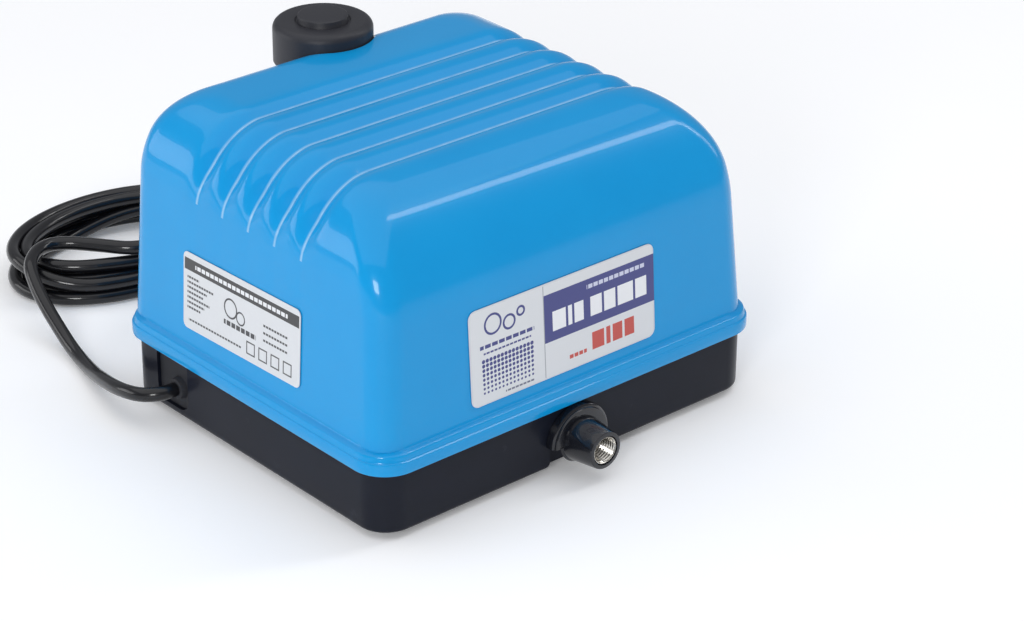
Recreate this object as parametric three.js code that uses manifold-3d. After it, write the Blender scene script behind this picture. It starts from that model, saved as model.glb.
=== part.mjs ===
// Diaphragm air pump for ponds and aquariums: a drafted cover on a shallow tray, a rubber
// filter cap on an intake tower, a threaded outlet, and inside an electromagnet that shakes
// two swing arms, each working one diaphragm and valve box.
// Millimetres. +X runs along the front face, -Y is the outlet side, +Z is up from the floor.
import * as THREE from "three";
import { mergeVertices } from "three/addons/utils/BufferGeometryUtils.js";
import Module from "manifold-3d";

const wasm = await Module();
wasm.setup();

// ---------------------------------------------------------------- driving dimensions
const GAP = 0.3;                 // clearance kept between pieces that touch
const WALL = 3;                  // moulded wall thickness
const LIP_HALF_X = 117.5;
const LIP_HALF_Y = 98.5;
const LIP_RADIUS = 17.5;
const LIP_BOTTOM = 34.5;
const LIP_TOP = 44;
const COVER_TOP = 151.5;
const COVER_INSET = 4.3;         // cover wall behind the lip's edge
const COVER_DRAFT = 0.068;       // inward lean of the cover walls, mm per mm
const REAR_INSET = 1.8;          // the rear wall stands further out and more upright
const REAR_DRAFT = 0.02;
const SIDE_ROUND = 35;           // roof rounding over the left and right walls
const FRONT_ROUND = 50;
const REAR_ROUND = 18;
const PLAN_RADIUS = 13;          // cover corner seen from above
const GROOVE_PITCH = 19.2;
const GROOVE_FRONT_Y = -34;
const GROOVE_COUNT = 5;
const GROOVE_DEPTH = 4;
const GROOVE_SLOPE = 1.25;       // half width of the groove per mm of its depth

const TRAY_HALF_X = 114;
const TRAY_HALF_Y = 95;
const TRAY_RADIUS = 15;
const FOOT_HEIGHT = 3;
const FOOT_RADIUS = 9;
const TRAY_BOTTOM = FOOT_HEIGHT + GAP;
const TRAY_TOP = LIP_BOTTOM - GAP;
const TRAY_FLOOR = TRAY_BOTTOM + WALL;
const SCREW_X = 96;
const SCREW_Y = 77;
const SCREW_RADIUS = 1.9;

const CAP_X = 9;                 // axis of the filter cap and its intake tower
const CAP_Y = 98.1;
const CAP_RADIUS = 24.4;
const CAP_TOP = 162;
const TOWER_TOP = 138;
const TOWER_RADIUS = 22.5;
const NECK_RADIUS = 15;
const NECK_TOP = 150;

const OUTLET_Z = 16.5;
const OUTLET_RADIUS = 9.3;
const OUTLET_ROOT = 11.2;        // the tube thickens towards its hood
const OUTLET_MOUTH_Y = -116.5;
const OUTLET_BORE = 6.9;         // seat of the threaded insert
const THREAD_RADIUS = 5.9;       // quarter-inch pipe thread, drawn as its mean bore
const HOOD_RADIUS = 18;
const HOOD_FRONT_Y = -101;
const RECESS_HALF = 14.5;
const RECESS_BACK_Y = -91;

const CORD_RADIUS = 3.5;
const CORD_EXIT = new THREE.Vector3(-115.5, 56, 17.8);
const GROMMET_FACE_X = -112.4;
const SLOT_FRONT_Y = 48;
const SLOT_REAR_Y = 72;
const SLOT_BOTTOM = 7;

const CHASSIS_Z = 16;
const CHASSIS_TOP = 18.5;
const CORE_BOTTOM = 30;
const CORE_TOP = 56;
const MOTOR_Z = 43;              // height of the coil axis and the diaphragm centres
const ARM_X = 31;
const PIVOT_Y = -48;
const DIAPHRAGM_Y = -18;
const VALVE_X = 40;

// ---------------------------------------------------------------- materials
function finish(colour, roughness, metalness = 0) {
  return new THREE.MeshStandardMaterial({ color: colour, roughness, metalness });
}

const BLUE = finish(0x1696d6, 0.18);
const TRAY_BLACK = finish(0x1c202c, 0.38);
const RUBBER = finish(0x323238, 0.8);
const GLOSS_BLACK = finish(0x14161c, 0.2);
const NICKEL = finish(0xb8b8b4, 0.3, 1);
const STEEL = finish(0x9a9da0, 0.4, 1);
const SILVER_FILM = finish(0xcdd0d4, 0.35);
const CORD_BLACK = finish(0x111114, 0.4);
const COPPER = finish(0xa5582c, 0.35, 1);
const NYLON = finish(0xd9d6cc, 0.5);
const CAST_ALLOY = finish(0x9fa3a6, 0.5, 1);
const FERRITE = finish(0x3a3a3d, 0.55, 0.3);
const SPONGE = finish(0x2b2b2b, 0.95);
const HOSE = finish(0x26282c, 0.6);

// ---------------------------------------------------------------- solids and joins
/** A closed mesh with shared vertices and its faces pointing out. */
function closed(geometry) {
  const plain = geometry.clone();
  plain.deleteAttribute("normal");
  plain.deleteAttribute("uv");
  const merged = mergeVertices(plain, 1e-4);
  const place = merged.attributes.position;
  const index = Array.from(merged.index.array);
  const a = new THREE.Vector3();
  const b = new THREE.Vector3();
  const c = new THREE.Vector3();
  const kept = [];
  let volume = 0;
  for (let i = 0; i < index.length; i += 3) {
    const [p, q, r] = index.slice(i, i + 3);
    if (p === q || q === r || r === p) continue;
    kept.push(p, q, r);
    a.fromBufferAttribute(place, p);
    b.fromBufferAttribute(place, q);
    c.fromBufferAttribute(place, r);
    volume += a.dot(b.cross(c));
  }
  merged.setIndex(volume < 0 ? kept.reverse() : kept);
  return merged;
}

function toSolid(geometry) {
  const mesh = closed(geometry);
  return new wasm.Manifold(new wasm.Mesh({
    numProp: 3,
    vertProperties: new Float32Array(mesh.attributes.position.array),
    triVerts: new Uint32Array(mesh.index.array),
  }));
}

function toGeometry(solid) {
  const mesh = solid.getMesh();
  const geometry = new THREE.BufferGeometry();
  geometry.setAttribute("position", new THREE.BufferAttribute(new Float32Array(mesh.vertProperties), 3));
  geometry.setIndex(Array.from(mesh.triVerts));
  return geometry;
}

function join(...geometries) {
  return toGeometry(geometries.map(toSolid).reduce((sum, next) => sum.add(next)));
}

function cut(body, ...tools) {
  return toGeometry(tools.map(toSolid).reduce((rest, tool) => rest.subtract(tool), toSolid(body)));
}

// ---------------------------------------------------------------- basic shapes
function box(x0, x1, y0, y1, z0, z1) {
  const geometry = new THREE.BoxGeometry(x1 - x0, y1 - y0, z1 - z0);
  return geometry.translate((x0 + x1) / 2, (y0 + y1) / 2, (z0 + z1) / 2);
}

/** An upright cylinder standing on z0. */
function upright(radius, x, y, z0, z1, sides = 24) {
  const geometry = new THREE.CylinderGeometry(radius, radius, z1 - z0, sides);
  return geometry.rotateX(Math.PI / 2).translate(x, y, (z0 + z1) / 2);
}

/** A cylinder lying along Y. */
function alongY(radius, x, z, y0, y1, sides = 24) {
  const geometry = new THREE.CylinderGeometry(radius, radius, y1 - y0, sides);
  return geometry.translate(x, (y0 + y1) / 2, z);
}

/** A cylinder lying along X, between two x values in either order. */
function alongX(radius, y, z, xa, xb, sides = 24) {
  const geometry = new THREE.CylinderGeometry(radius, radius, Math.abs(xb - xa), sides);
  return geometry.rotateZ(Math.PI / 2).translate((xa + xb) / 2, y, z);
}

/** A body turned from [radius, height] points about the Z axis. */
function turned(profile, sides = 24) {
  const points = profile.map(([radius, height]) => new THREE.Vector2(radius, height));
  return new THREE.LatheGeometry(points, sides).rotateX(Math.PI / 2);
}

function rectangleShape(x0, x1, y0, y1, radius, shape = new THREE.Shape()) {
  shape.moveTo(x0 + radius, y0);
  shape.lineTo(x1 - radius, y0);
  shape.absarc(x1 - radius, y0 + radius, radius, -Math.PI / 2, 0);
  shape.lineTo(x1, y1 - radius);
  shape.absarc(x1 - radius, y1 - radius, radius, 0, Math.PI / 2);
  shape.lineTo(x0 + radius, y1);
  shape.absarc(x0 + radius, y1 - radius, radius, Math.PI / 2, Math.PI);
  shape.lineTo(x0, y0 + radius);
  shape.absarc(x0 + radius, y0 + radius, radius, Math.PI, Math.PI * 1.5);
  return shape;
}

function extrude(shape, depth, curveSegments = 6) {
  return new THREE.ExtrudeGeometry(shape, { depth, bevelEnabled: false, curveSegments });
}

/** An upright slab with rounded corners, half sizes hx and hy. */
function slab(hx, hy, radius, z0, z1) {
  return extrude(rectangleShape(-hx, hx, -hy, hy, radius), z1 - z0).translate(0, 0, z0);
}

/** A shape drawn in X and Z, pushed from y1 towards the front to y0. */
function frontal(shape, y0, y1, curveSegments = 8) {
  return extrude(shape, y1 - y0, curveSegments).rotateX(Math.PI / 2).translate(0, y1, 0);
}

/** A shape drawn in Y and Z, pushed from x0 to x1. */
function sideways(shape, x0, x1, curveSegments = 6) {
  const geometry = extrude(shape, x1 - x0, curveSegments);
  return geometry.rotateX(Math.PI / 2).rotateZ(Math.PI / 2).translate(x0, 0, 0);
}

function circleShape(radius, sides) {
  const corners = Array.from({ length: sides }, (_, i) => {
    const angle = (2 * Math.PI * i) / sides;
    return new THREE.Vector2(radius * Math.cos(angle), radius * Math.sin(angle));
  });
  return new THREE.Shape(corners);
}

/** A round tube along a smooth curve through the points. */
function hoseAlong(points, radius, steps, sides = 8) {
  const extrudePath = new THREE.CatmullRomCurve3(points, false, "centripetal");
  return new THREE.ExtrudeGeometry(circleShape(radius, sides), { steps, extrudePath });
}

/** A closed skin over a stack of rings of equal length, with a fan over each end. */
function loft(rings) {
  const count = rings[0].length;
  const points = rings.flat();
  const middles = [rings[0], rings[rings.length - 1]].map((ring) => {
    const sum = ring.reduce((total, point) => total.add(point), new THREE.Vector3());
    return sum.divideScalar(count);
  });
  const index = [];
  for (let level = 0; level < rings.length - 1; level += 1) {
    for (let i = 0; i < count; i += 1) {
      const a = level * count + i;
      const b = level * count + ((i + 1) % count);
      index.push(a, b, b + count, a, b + count, a + count);
    }
  }
  const last = (rings.length - 1) * count;
  for (let i = 0; i < count; i += 1) {
    const next = (i + 1) % count;
    index.push(points.length, next, i);
    index.push(points.length + 1, last + i, last + next);
  }
  const geometry = new THREE.BufferGeometry().setFromPoints([...points, ...middles]);
  geometry.setIndex(index);
  return geometry;
}

/** A rounded rectangle of points at height z, from x -hx to hx and y front to rear. */
function ring(hx, front, rear, radius, z, cornerSteps = 4) {
  const centres = [
    [hx - radius, rear - radius],
    [-hx + radius, rear - radius],
    [-hx + radius, front + radius],
    [hx - radius, front + radius],
  ];
  return centres.flatMap(([x, y], corner) => Array.from({ length: cornerSteps + 1 }, (_, i) => {
    const angle = (Math.PI / 2) * (corner + i / cornerSteps);
    return new THREE.Vector3(x + radius * Math.cos(angle), y + radius * Math.sin(angle), z);
  }));
}

function circleRing(radius, x, y, z, sides = 24) {
  return circleShape(radius, sides).getPoints().map((p) => new THREE.Vector3(p.x + x, p.y + y, z));
}

// ---------------------------------------------------------------- cover
/** How far a roof rounding of the given radius pulls the wall in at height z. */
function pullIn(z, radius, top) {
  const above = z - (top - radius);
  return above > 0 ? radius - Math.sqrt(Math.max(0, radius * radius - above * above)) : 0;
}

/** The cover's outline at height z, moved inwards by the wall thickness. */
function coverRing(z, wall) {
  const top = COVER_TOP - wall;
  const lean = COVER_INSET + wall + COVER_DRAFT * (z - LIP_TOP);
  const halfX = LIP_HALF_X - lean - pullIn(z, SIDE_ROUND - wall, top);
  const front = -LIP_HALF_Y + lean + pullIn(z, FRONT_ROUND - wall, top);
  const rearLean = REAR_INSET + wall + REAR_DRAFT * (z - LIP_TOP);
  const rear = LIP_HALF_Y - rearLean - pullIn(z, REAR_ROUND - wall, top);
  return ring(halfX, front, rear, PLAN_RADIUS - wall, z);
}

/** Rings closer together towards the roof, where the roundings turn. */
function coverBody(bottom, wall) {
  const top = COVER_TOP - wall;
  const start = top - FRONT_ROUND + wall;
  const steps = 8;
  const levels = Array.from({ length: steps + 1 }, (_, i) => {
    return start + (top - start) * Math.sin((Math.PI / 2) * (i / steps));
  });
  return loft([bottom, ...levels].map((z) => coverRing(z, wall)));
}

/** A V-shaped bar that follows the roof section at one y, sunk to the given depth.
    Over each shoulder it climbs out of the wall, so the groove runs out to a point. */
function grooveBar(y, depth, slope) {
  const halfTop = LIP_HALF_X - COVER_INSET - COVER_DRAFT * (COVER_TOP - LIP_TOP) - SIDE_ROUND;
  const centreZ = COVER_TOP - SIDE_ROUND;
  const proud = 2;
  const turns = 6;
  const rings = [];
  for (let i = 0; i <= 2 * turns + 1; i += 1) {
    const side = i <= turns ? -1 : 1;
    const along = i <= turns ? i / turns : (2 * turns + 1 - i) / turns;
    const angle = (Math.PI / 2) * along;
    const run = Math.min(1, Math.sin(angle) / 0.6);
    const sunk = (depth + 0.6) * run * run * (3 - 2 * run) - 0.6;
    const lean = COVER_DRAFT * (COVER_TOP - centreZ) * (1 - Math.sin(angle));
    const place = (radius, offset) => new THREE.Vector3(
      side * (halfTop + lean + radius * Math.cos(angle)), y + offset, centreZ + radius * Math.sin(angle));
    const half = (Math.max(sunk, -0.6) + proud) * slope;
    const outer = SIDE_ROUND + proud;
    rings.push([place(SIDE_ROUND - sunk, 0), place(outer, -half), place(outer, half)]);
  }
  return loft(rings);
}

function grooveLines() {
  return Array.from({ length: GROOVE_COUNT }, (_, i) => GROOVE_FRONT_Y + i * GROOVE_PITCH);
}

/** The bracket-like tower on the rear wall that carries the filter cap. */
function tower(wall, top) {
  const root = 16;
  return loft([
    circleRing(10 - wall, CAP_X, CAP_Y - 19, TOWER_TOP - 50 + wall),
    circleRing(TOWER_RADIUS - wall, CAP_X, CAP_Y, TOWER_TOP - root),
    circleRing(TOWER_RADIUS - wall, CAP_X, CAP_Y, top),
  ]);
}

function screwPlaces() {
  return [[-1, -1], [1, -1], [-1, 1], [1, 1]].map(([sx, sy]) => [sx * SCREW_X, sy * SCREW_Y]);
}

function topCover() {
  const lip = loft([
    ring(LIP_HALF_X, -LIP_HALF_Y, LIP_HALF_Y, LIP_RADIUS, LIP_BOTTOM),
    ring(LIP_HALF_X, -LIP_HALF_Y, LIP_HALF_Y, LIP_RADIUS, LIP_TOP - 2),
    ring(LIP_HALF_X - 1, -LIP_HALF_Y + 1, LIP_HALF_Y - 1, LIP_RADIUS - 1, LIP_TOP - 0.4),
    ring(LIP_HALF_X - 5, -LIP_HALF_Y + 5, LIP_HALF_Y - 5, LIP_RADIUS - 1, LIP_TOP + 0.6),
  ]);
  const outside = join(lip, coverBody(LIP_BOTTOM + 1, 0), tower(0, TOWER_TOP));
  const pocket = upright(CAP_RADIUS + 0.9, CAP_X, CAP_Y, TOWER_TOP, CAP_TOP, 24);
  const pocketWall = upright(CAP_RADIUS + 3.9, CAP_X, CAP_Y, TOWER_TOP - WALL, CAP_TOP, 20);
  const backings = grooveLines().map((y) => grooveBar(y, GROOVE_DEPTH + 4.4, GROOVE_SLOPE));
  const hollow = cut(join(coverBody(LIP_BOTTOM - 1, WALL), tower(WALL, TOWER_TOP - WALL)),
    pocketWall, ...backings);
  const grooves = grooveLines().map((y) => grooveBar(y, GROOVE_DEPTH, GROOVE_SLOPE));
  const shell = cut(outside, pocket, hollow, ...grooves, sealGroove());
  const neck = upright(NECK_RADIUS, CAP_X, CAP_Y, TOWER_TOP - 1, NECK_TOP);
  const posts = screwPlaces().flatMap(([x, y]) => [
    upright(4.8, x, y, LIP_BOTTOM, 64, 16),
    box(Math.min(x, x * 1.156), Math.max(x, x * 1.156), y - 1.5, y + 1.5, 46, 64),
  ]);
  const bores = screwPlaces().map(([x, y]) => upright(SCREW_RADIUS + GAP, x, y, LIP_BOTTOM - 1, 60, 12));
  const neckBore = upright(NECK_RADIUS - 2.5, CAP_X, CAP_Y, TOWER_TOP - 8, NECK_TOP + 1);
  return cut(join(shell, neck, ...posts), neckBore, ...bores);
}

/** The seal's channel in the underside of the lip, and the seal that lies in it. */
function sealRing(outerInset, innerInset, z0, z1) {
  const outline = (inset) => slab(LIP_HALF_X - inset, LIP_HALF_Y - inset, LIP_RADIUS - inset, z0, z1);
  const inner = slab(LIP_HALF_X - innerInset, LIP_HALF_Y - innerInset, LIP_RADIUS - innerInset, z0 - 1, z1 + 1);
  return cut(outline(outerInset), inner);
}

function sealGroove() {
  return sealRing(3.9, 6.5, LIP_BOTTOM - 1, LIP_BOTTOM + 2);
}

function coverSeal() {
  return sealRing(3.9 + GAP, 6.5 - GAP, LIP_BOTTOM, LIP_BOTTOM + 2 - GAP);
}

// ---------------------------------------------------------------- tray
/** An arch with feet that flare outwards at the tray's lower edge. */
function recessShape() {
  const flare = 4;
  const spring = 12;
  const low = TRAY_BOTTOM - 1;
  const shape = new THREE.Shape();
  shape.moveTo(-RECESS_HALF - flare, low);
  shape.lineTo(-RECESS_HALF - flare, TRAY_BOTTOM);
  shape.absarc(-RECESS_HALF - flare, TRAY_BOTTOM + flare, flare, -Math.PI / 2, 0);
  shape.lineTo(-RECESS_HALF, spring);
  shape.absarc(0, spring, RECESS_HALF, Math.PI, 0, true);
  shape.lineTo(RECESS_HALF, TRAY_BOTTOM + flare);
  shape.absarc(RECESS_HALF + flare, TRAY_BOTTOM + flare, flare, Math.PI, Math.PI * 1.5);
  shape.lineTo(RECESS_HALF + flare, low);
  return shape;
}

/** The U-shaped slot in the left wall that holds the cord grommet. */
function slotShape(clearance, top) {
  const corner = 7;
  const y0 = SLOT_FRONT_Y + clearance;
  const y1 = SLOT_REAR_Y - clearance;
  const z0 = SLOT_BOTTOM + clearance;
  const shape = new THREE.Shape();
  shape.moveTo(y0, top);
  shape.lineTo(y0, z0 + corner);
  shape.absarc(y0 + corner, z0 + corner, corner, Math.PI, Math.PI * 1.5);
  shape.lineTo(y1 - corner, z0);
  shape.absarc(y1 - corner, z0 + corner, corner, -Math.PI / 2, 0);
  shape.lineTo(y1, top);
  return shape;
}

function baseTray() {
  const outside = slab(TRAY_HALF_X, TRAY_HALF_Y, TRAY_RADIUS, TRAY_BOTTOM, TRAY_TOP);
  const inside = slab(TRAY_HALF_X - WALL, TRAY_HALF_Y - WALL, TRAY_RADIUS - WALL, TRAY_FLOOR, TRAY_TOP + 1);
  const thickened = box(-RECESS_HALF - 5, RECESS_HALF + 5, -TRAY_HALF_Y + 1, RECESS_BACK_Y + WALL,
    TRAY_BOTTOM + 1, TRAY_TOP);
  const posts = screwPlaces().map(([x, y]) => upright(5.5, x, y, TRAY_BOTTOM + 1, TRAY_TOP, 16));
  const bores = screwPlaces().map(([x, y]) => upright(SCREW_RADIUS + GAP, x, y, 0, TRAY_TOP + 1, 12));
  const recess = frontal(recessShape(), -TRAY_HALF_Y - 1, RECESS_BACK_Y);
  const outletHole = alongY(OUTLET_RADIUS + GAP, 0, OUTLET_Z, RECESS_BACK_Y - 2, RECESS_BACK_Y + 8);
  const slot = sideways(slotShape(0, TRAY_TOP + 1), -TRAY_HALF_X - 1, -TRAY_HALF_X + WALL + 1);
  return cut(join(cut(outside, inside), thickened, ...posts), recess, outletHole, slot, ...bores);
}

function foot() {
  const hole = 4.5;
  return turned([[hole, 0.4], [hole + 0.4, 0], [FOOT_RADIUS - 0.6, 0], [FOOT_RADIUS, 0.6],
    [FOOT_RADIUS, FOOT_HEIGHT - 0.5], [FOOT_RADIUS - 0.5, FOOT_HEIGHT], [hole, FOOT_HEIGHT], [hole, 0.4]], 16);
}

function caseScrew() {
  const headRadius = 4.1;
  return turned([[0, 0.9], [headRadius - 0.7, 0.9], [headRadius, 1.6], [headRadius, FOOT_HEIGHT - 0.1],
    [SCREW_RADIUS, FOOT_HEIGHT - 0.1], [SCREW_RADIUS, 56], [0, 58.5]], 12);
}

// ---------------------------------------------------------------- outlet
/** A tube with a half-round hood over its root, tapering towards the mouth. */
function outletNozzle() {
  const arch = (radius) => {
    const shape = new THREE.Shape();
    shape.moveTo(-radius, OUTLET_Z - 1);
    shape.lineTo(radius, OUTLET_Z - 1);
    shape.absarc(0, OUTLET_Z - 1, radius, 0, Math.PI);
    return shape;
  };
  const tube = alongY(OUTLET_RADIUS, 0, OUTLET_Z, OUTLET_MOUTH_Y + 1, RECESS_BACK_Y + 4);
  const hoodBack = -TRAY_HALF_Y - GAP;
  const coneLength = HOOD_FRONT_Y + 1 - OUTLET_MOUTH_Y;
  const cone = turned([[0, 0], [OUTLET_RADIUS, 0], [OUTLET_ROOT, coneLength], [0, coneLength]], 24);
  cone.rotateX(-Math.PI / 2).translate(0, OUTLET_MOUTH_Y, OUTLET_Z);
  const tail = alongY(5.2, 0, OUTLET_Z, RECESS_BACK_Y + 3, -80, 16);
  const hood = frontal(arch(HOOD_RADIUS - 0.6), HOOD_FRONT_Y + 1.4, hoodBack, 12);
  const brow = frontal(arch(HOOD_RADIUS - 2), HOOD_FRONT_Y, HOOD_FRONT_Y + 2, 12);
  const seat = alongY(OUTLET_BORE + GAP, 0, OUTLET_Z, OUTLET_MOUTH_Y - 1, OUTLET_MOUTH_Y + 16);
  const duct = alongY(3.2, 0, OUTLET_Z, OUTLET_MOUTH_Y, -79, 12);
  return cut(join(tube, cone, tail, hood, brow), seat, duct);
}

function outletInsert() {
  const sleeve = alongY(OUTLET_BORE, 0, OUTLET_Z, OUTLET_MOUTH_Y + 0.4, OUTLET_MOUTH_Y + 15.5);
  return cut(sleeve, alongY(THREAD_RADIUS, 0, OUTLET_Z, OUTLET_MOUTH_Y - 1, OUTLET_MOUTH_Y + 17, 20));
}

// ---------------------------------------------------------------- filter
function filterCap() {
  const inner = CAP_RADIUS - 3;
  const low = TOWER_TOP + GAP;
  const roof = CAP_TOP - 3;
  const dome = [];
  for (let i = 0; i <= 3; i += 1) {
    const angle = (Math.PI / 2) * (i / 3);
    dome.push([CAP_RADIUS - 4 + 4 * Math.cos(angle), roof - 4 + 4 * Math.sin(angle)]);
  }
  const cap = turned([[0, roof - 3.5], [inner, roof - 3.5], [inner, low], [CAP_RADIUS, low], ...dome,
    [13.5, roof], [13, roof - 0.8], [12.4, roof - 0.8], [12.1, CAP_TOP - 0.6], [11.5, CAP_TOP], [0, CAP_TOP]], 24);
  const notches = [0, 1].map((i) => box(-30, 30, -3, 3, low - 1, low + 3).rotateZ((Math.PI / 2) * i));
  return cut(cap, ...notches);
}

function filterSponge() {
  const low = NECK_TOP + 0.6;
  return turned([[0, low], [19.5, low], [19.5, low + 4], [0, low + 4]], 20);
}

/** A cross of bars in a ring that keeps the sponge out of the intake neck. */
function filterGrid() {
  const outer = NECK_RADIUS - 2.5 - GAP;
  const low = NECK_TOP - 6;
  const hoop = cut(upright(outer, 0, 0, low, low + 3), upright(outer - 2, 0, 0, low - 1, low + 4));
  const bars = [0, 1].map((i) => box(-outer + 1, outer - 1, -1, 1, low, low + 3).rotateZ((Math.PI / 2) * i));
  return join(hoop, ...bars);
}

// ---------------------------------------------------------------- labels
/** A thin film on a drafted wall, drawn flat in X and Y and then stood up. */
function film(width, height, radius) {
  const thickness = 0.3;
  return extrude(rectangleShape(-width / 2, width / 2, -height / 2, height / 2, radius), thickness, 4);
}

function wallOffset(z) {
  return COVER_INSET + COVER_DRAFT * (z - LIP_TOP);
}

function frontLabel() {
  const centreZ = 73.4;
  const lean = Math.atan(COVER_DRAFT);
  const y = -LIP_HALF_Y + wallOffset(centreZ) - GAP;
  return film(111.5, 46.7, 4).rotateX(Math.PI / 2 - lean).translate(-5.3, y, centreZ);
}

function ratingLabel() {
  const centreZ = 73;
  const lean = Math.atan(COVER_DRAFT);
  const skew = 0.024;
  const x = -LIP_HALF_X + wallOffset(centreZ) - GAP;
  const flat = film(87.2, 38, 3).rotateZ(skew);
  return flat.rotateX(Math.PI / 2 - lean).rotateZ(-Math.PI / 2).translate(x, 7.1, centreZ);
}

// ---------------------------------------------------------------- cord
/** A moulded plate in the tray's slot, with a tapered relief each side of it. */
function cordGrommet() {
  const plate = sideways(slotShape(GAP, TRAY_TOP), GROMMET_FACE_X, -107.5);
  const flange = box(-TRAY_HALF_X + WALL + GAP, -108, SLOT_FRONT_Y - 2.5, SLOT_REAR_Y + 2.5, 6.8, TRAY_TOP);
  const relief = turned([[0, 0], [4.5, 0], [5.8, 4], [6.6, 8], [4.6, 30], [0, 30]], 16);
  relief.rotateY(Math.PI / 2).translate(CORD_EXIT.x, CORD_EXIT.y, CORD_EXIT.z);
  return join(plate, flange, relief);
}

// Out of the grommet, down to the floor along the left wall, back behind the pump, and up
// over the near side of the coil.
const LEAD_ROUTE = [
  [-115.8, 56, 17.8], [-119.8, 56.1, 17.8], [-124.5, 57.8, 17.5], [-129, 62.5, 16.8], [-131.2, 70, 15.6],
  [-130.8, 82, 13.2], [-127.5, 98, 9.6], [-123, 114, 6], [-118.5, 130, 4.2], [-115.5, 144, 5.4],
  [-113, 158, 9.6], [-111, 171, 15], [-108, 184, 20.6], [-103, 196, 25], [-94, 205, 26.4],
  [-83.5, 208.5, 26.4], [-74, 204, 26.2], [-64, 193, 25.9], [-54, 181.5, 25.6],
];

const COIL_X = -36;
const COIL_Y = 214;
const COIL_LONG = 57;            // half lengths of the middle turn
const COIL_SHORT = 37;
const COIL_HALF_WIDTH = 7.2;     // two turns side by side
const COIL_HEIGHT = 21.6;        // three turns high

// From the coil's near side, along the floor, to the plug beside it.
const TAIL_ROUTE = [
  [-8, 170, 3.6], [4, 170.2, 3.6], [18, 170.6, 3.8], [32, 171.6, 5.8],
  [46, 173.2, 10.4], [58, 174.6, 15.2], [67, 175, 18.4], [74.2, 175, 18.9],
];

function cordAlong(route) {
  const points = route.map((place) => new THREE.Vector3(...place));
  const length = new THREE.CatmullRomCurve3(points, false, "centripetal").getLength();
  return hoseAlong(points, CORD_RADIUS, Math.round(length / 9), 8);
}

function cordCoil() {
  const oval = (grow, target) => {
    target.absellipse(COIL_X, COIL_Y, COIL_LONG + grow, COIL_SHORT + grow, 0, 2 * Math.PI);
    return target;
  };
  const shape = oval(COIL_HALF_WIDTH, new THREE.Shape());
  shape.holes.push(oval(-COIL_HALF_WIDTH, new THREE.Path()));
  return extrude(shape, COIL_HEIGHT, 20);
}

// ---------------------------------------------------------------- plug
const PLUG_PLACE = new THREE.Vector3(74.9, 175, 18.9);
const PLUG_RADIUS = 18.7;
const PLUG_LENGTH = 52;

function plugBody() {
  const body = turned([[0, 0], [4.4, 0], [5.4, 14], [8, 17], [9.5, 24], [15.5, 33], [PLUG_RADIUS - 1.2, 36],
    [PLUG_RADIUS, 38], [PLUG_RADIUS, PLUG_LENGTH - 1], [PLUG_RADIUS - 1, PLUG_LENGTH], [0, PLUG_LENGTH]], 24);
  const notches = [-1, 1].map((side) => {
    return box(-4, 4, side * PLUG_RADIUS - 2.5, side * PLUG_RADIUS + 2.5, PLUG_LENGTH - 15, PLUG_LENGTH + 1);
  });
  return cut(body, ...notches);
}

function plugPin() {
  return turned([[0, 0], [2.4, 0], [2.4, 17.4], [1.4, 19], [0, 19]], 12);
}

// ---------------------------------------------------------------- chassis and magnet circuit
const MOUNT_PLACES = [[-52, -42], [52, -42], [-52, 66], [52, 66]];

function rubberMount() {
  return turned([[0, TRAY_FLOOR + GAP], [6.5, TRAY_FLOOR + GAP], [6.5, 9], [4.8, 10], [4.8, 12.5],
    [6.5, 13.5], [6.5, CHASSIS_Z - GAP], [0, CHASSIS_Z - GAP]], 12);
}

function chassisPlate() {
  const shape = rectangleShape(-61, 61, -53, 76, 6);
  for (const x of [-14, 14]) {
    const window = new THREE.Path();
    window.absellipse(x, -14, 8, 14, 0, 2 * Math.PI);
    shape.holes.push(window);
  }
  return extrude(shape, CHASSIS_TOP - CHASSIS_Z, 6).translate(0, 0, CHASSIS_Z);
}

/** An E of stacked laminations: a back bar and three limbs that reach forwards. */
function statorCore() {
  const outline = [[-36, 70], [-36, 20], [-26, 20], [-26, 58], [-7, 58], [-7, 20], [7, 20], [7, 58],
    [26, 58], [26, 20], [36, 20], [36, 70]];
  const shape = new THREE.Shape(outline.map(([x, y]) => new THREE.Vector2(x, y)));
  return extrude(shape, CORE_TOP - CORE_BOTTOM).translate(0, 0, CORE_BOTTOM);
}

/** A rectangular sleeve round the middle limb, from y0 to y1. */
function sleeve(outerX, outerZ, innerX, innerZ, y0, y1) {
  const shape = rectangleShape(-outerX, outerX, MOTOR_Z - outerZ, MOTOR_Z + outerZ, 2);
  shape.holes.push(rectangleShape(-innerX, innerX, MOTOR_Z - innerZ, MOTOR_Z + innerZ, 0.2, new THREE.Path()));
  return frontal(shape, y0, y1, 2);
}

function coilBobbin() {
  const tube = sleeve(8.8, 14.8, 7.3, 13.3, 23, 56);
  const cheeks = [23, 54.5].map((y) => sleeve(24, 22, 8, 14, y, y + 1.5));
  return join(tube, ...cheeks);
}

function coilWinding() {
  return sleeve(22, 20.5, 8.8 + GAP, 14.8 + GAP, 24.5 + GAP, 54.5 - GAP);
}

function coreClamp() {
  const shape = rectangleShape(-38.6, 38.6, CHASSIS_TOP + GAP, CORE_TOP + 2.6, 1);
  shape.holes.push(rectangleShape(-36.3, 36.3, CORE_BOTTOM - GAP, CORE_TOP + GAP, 0.2, new THREE.Path()));
  return frontal(shape, 60, 68, 2);
}

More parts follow.
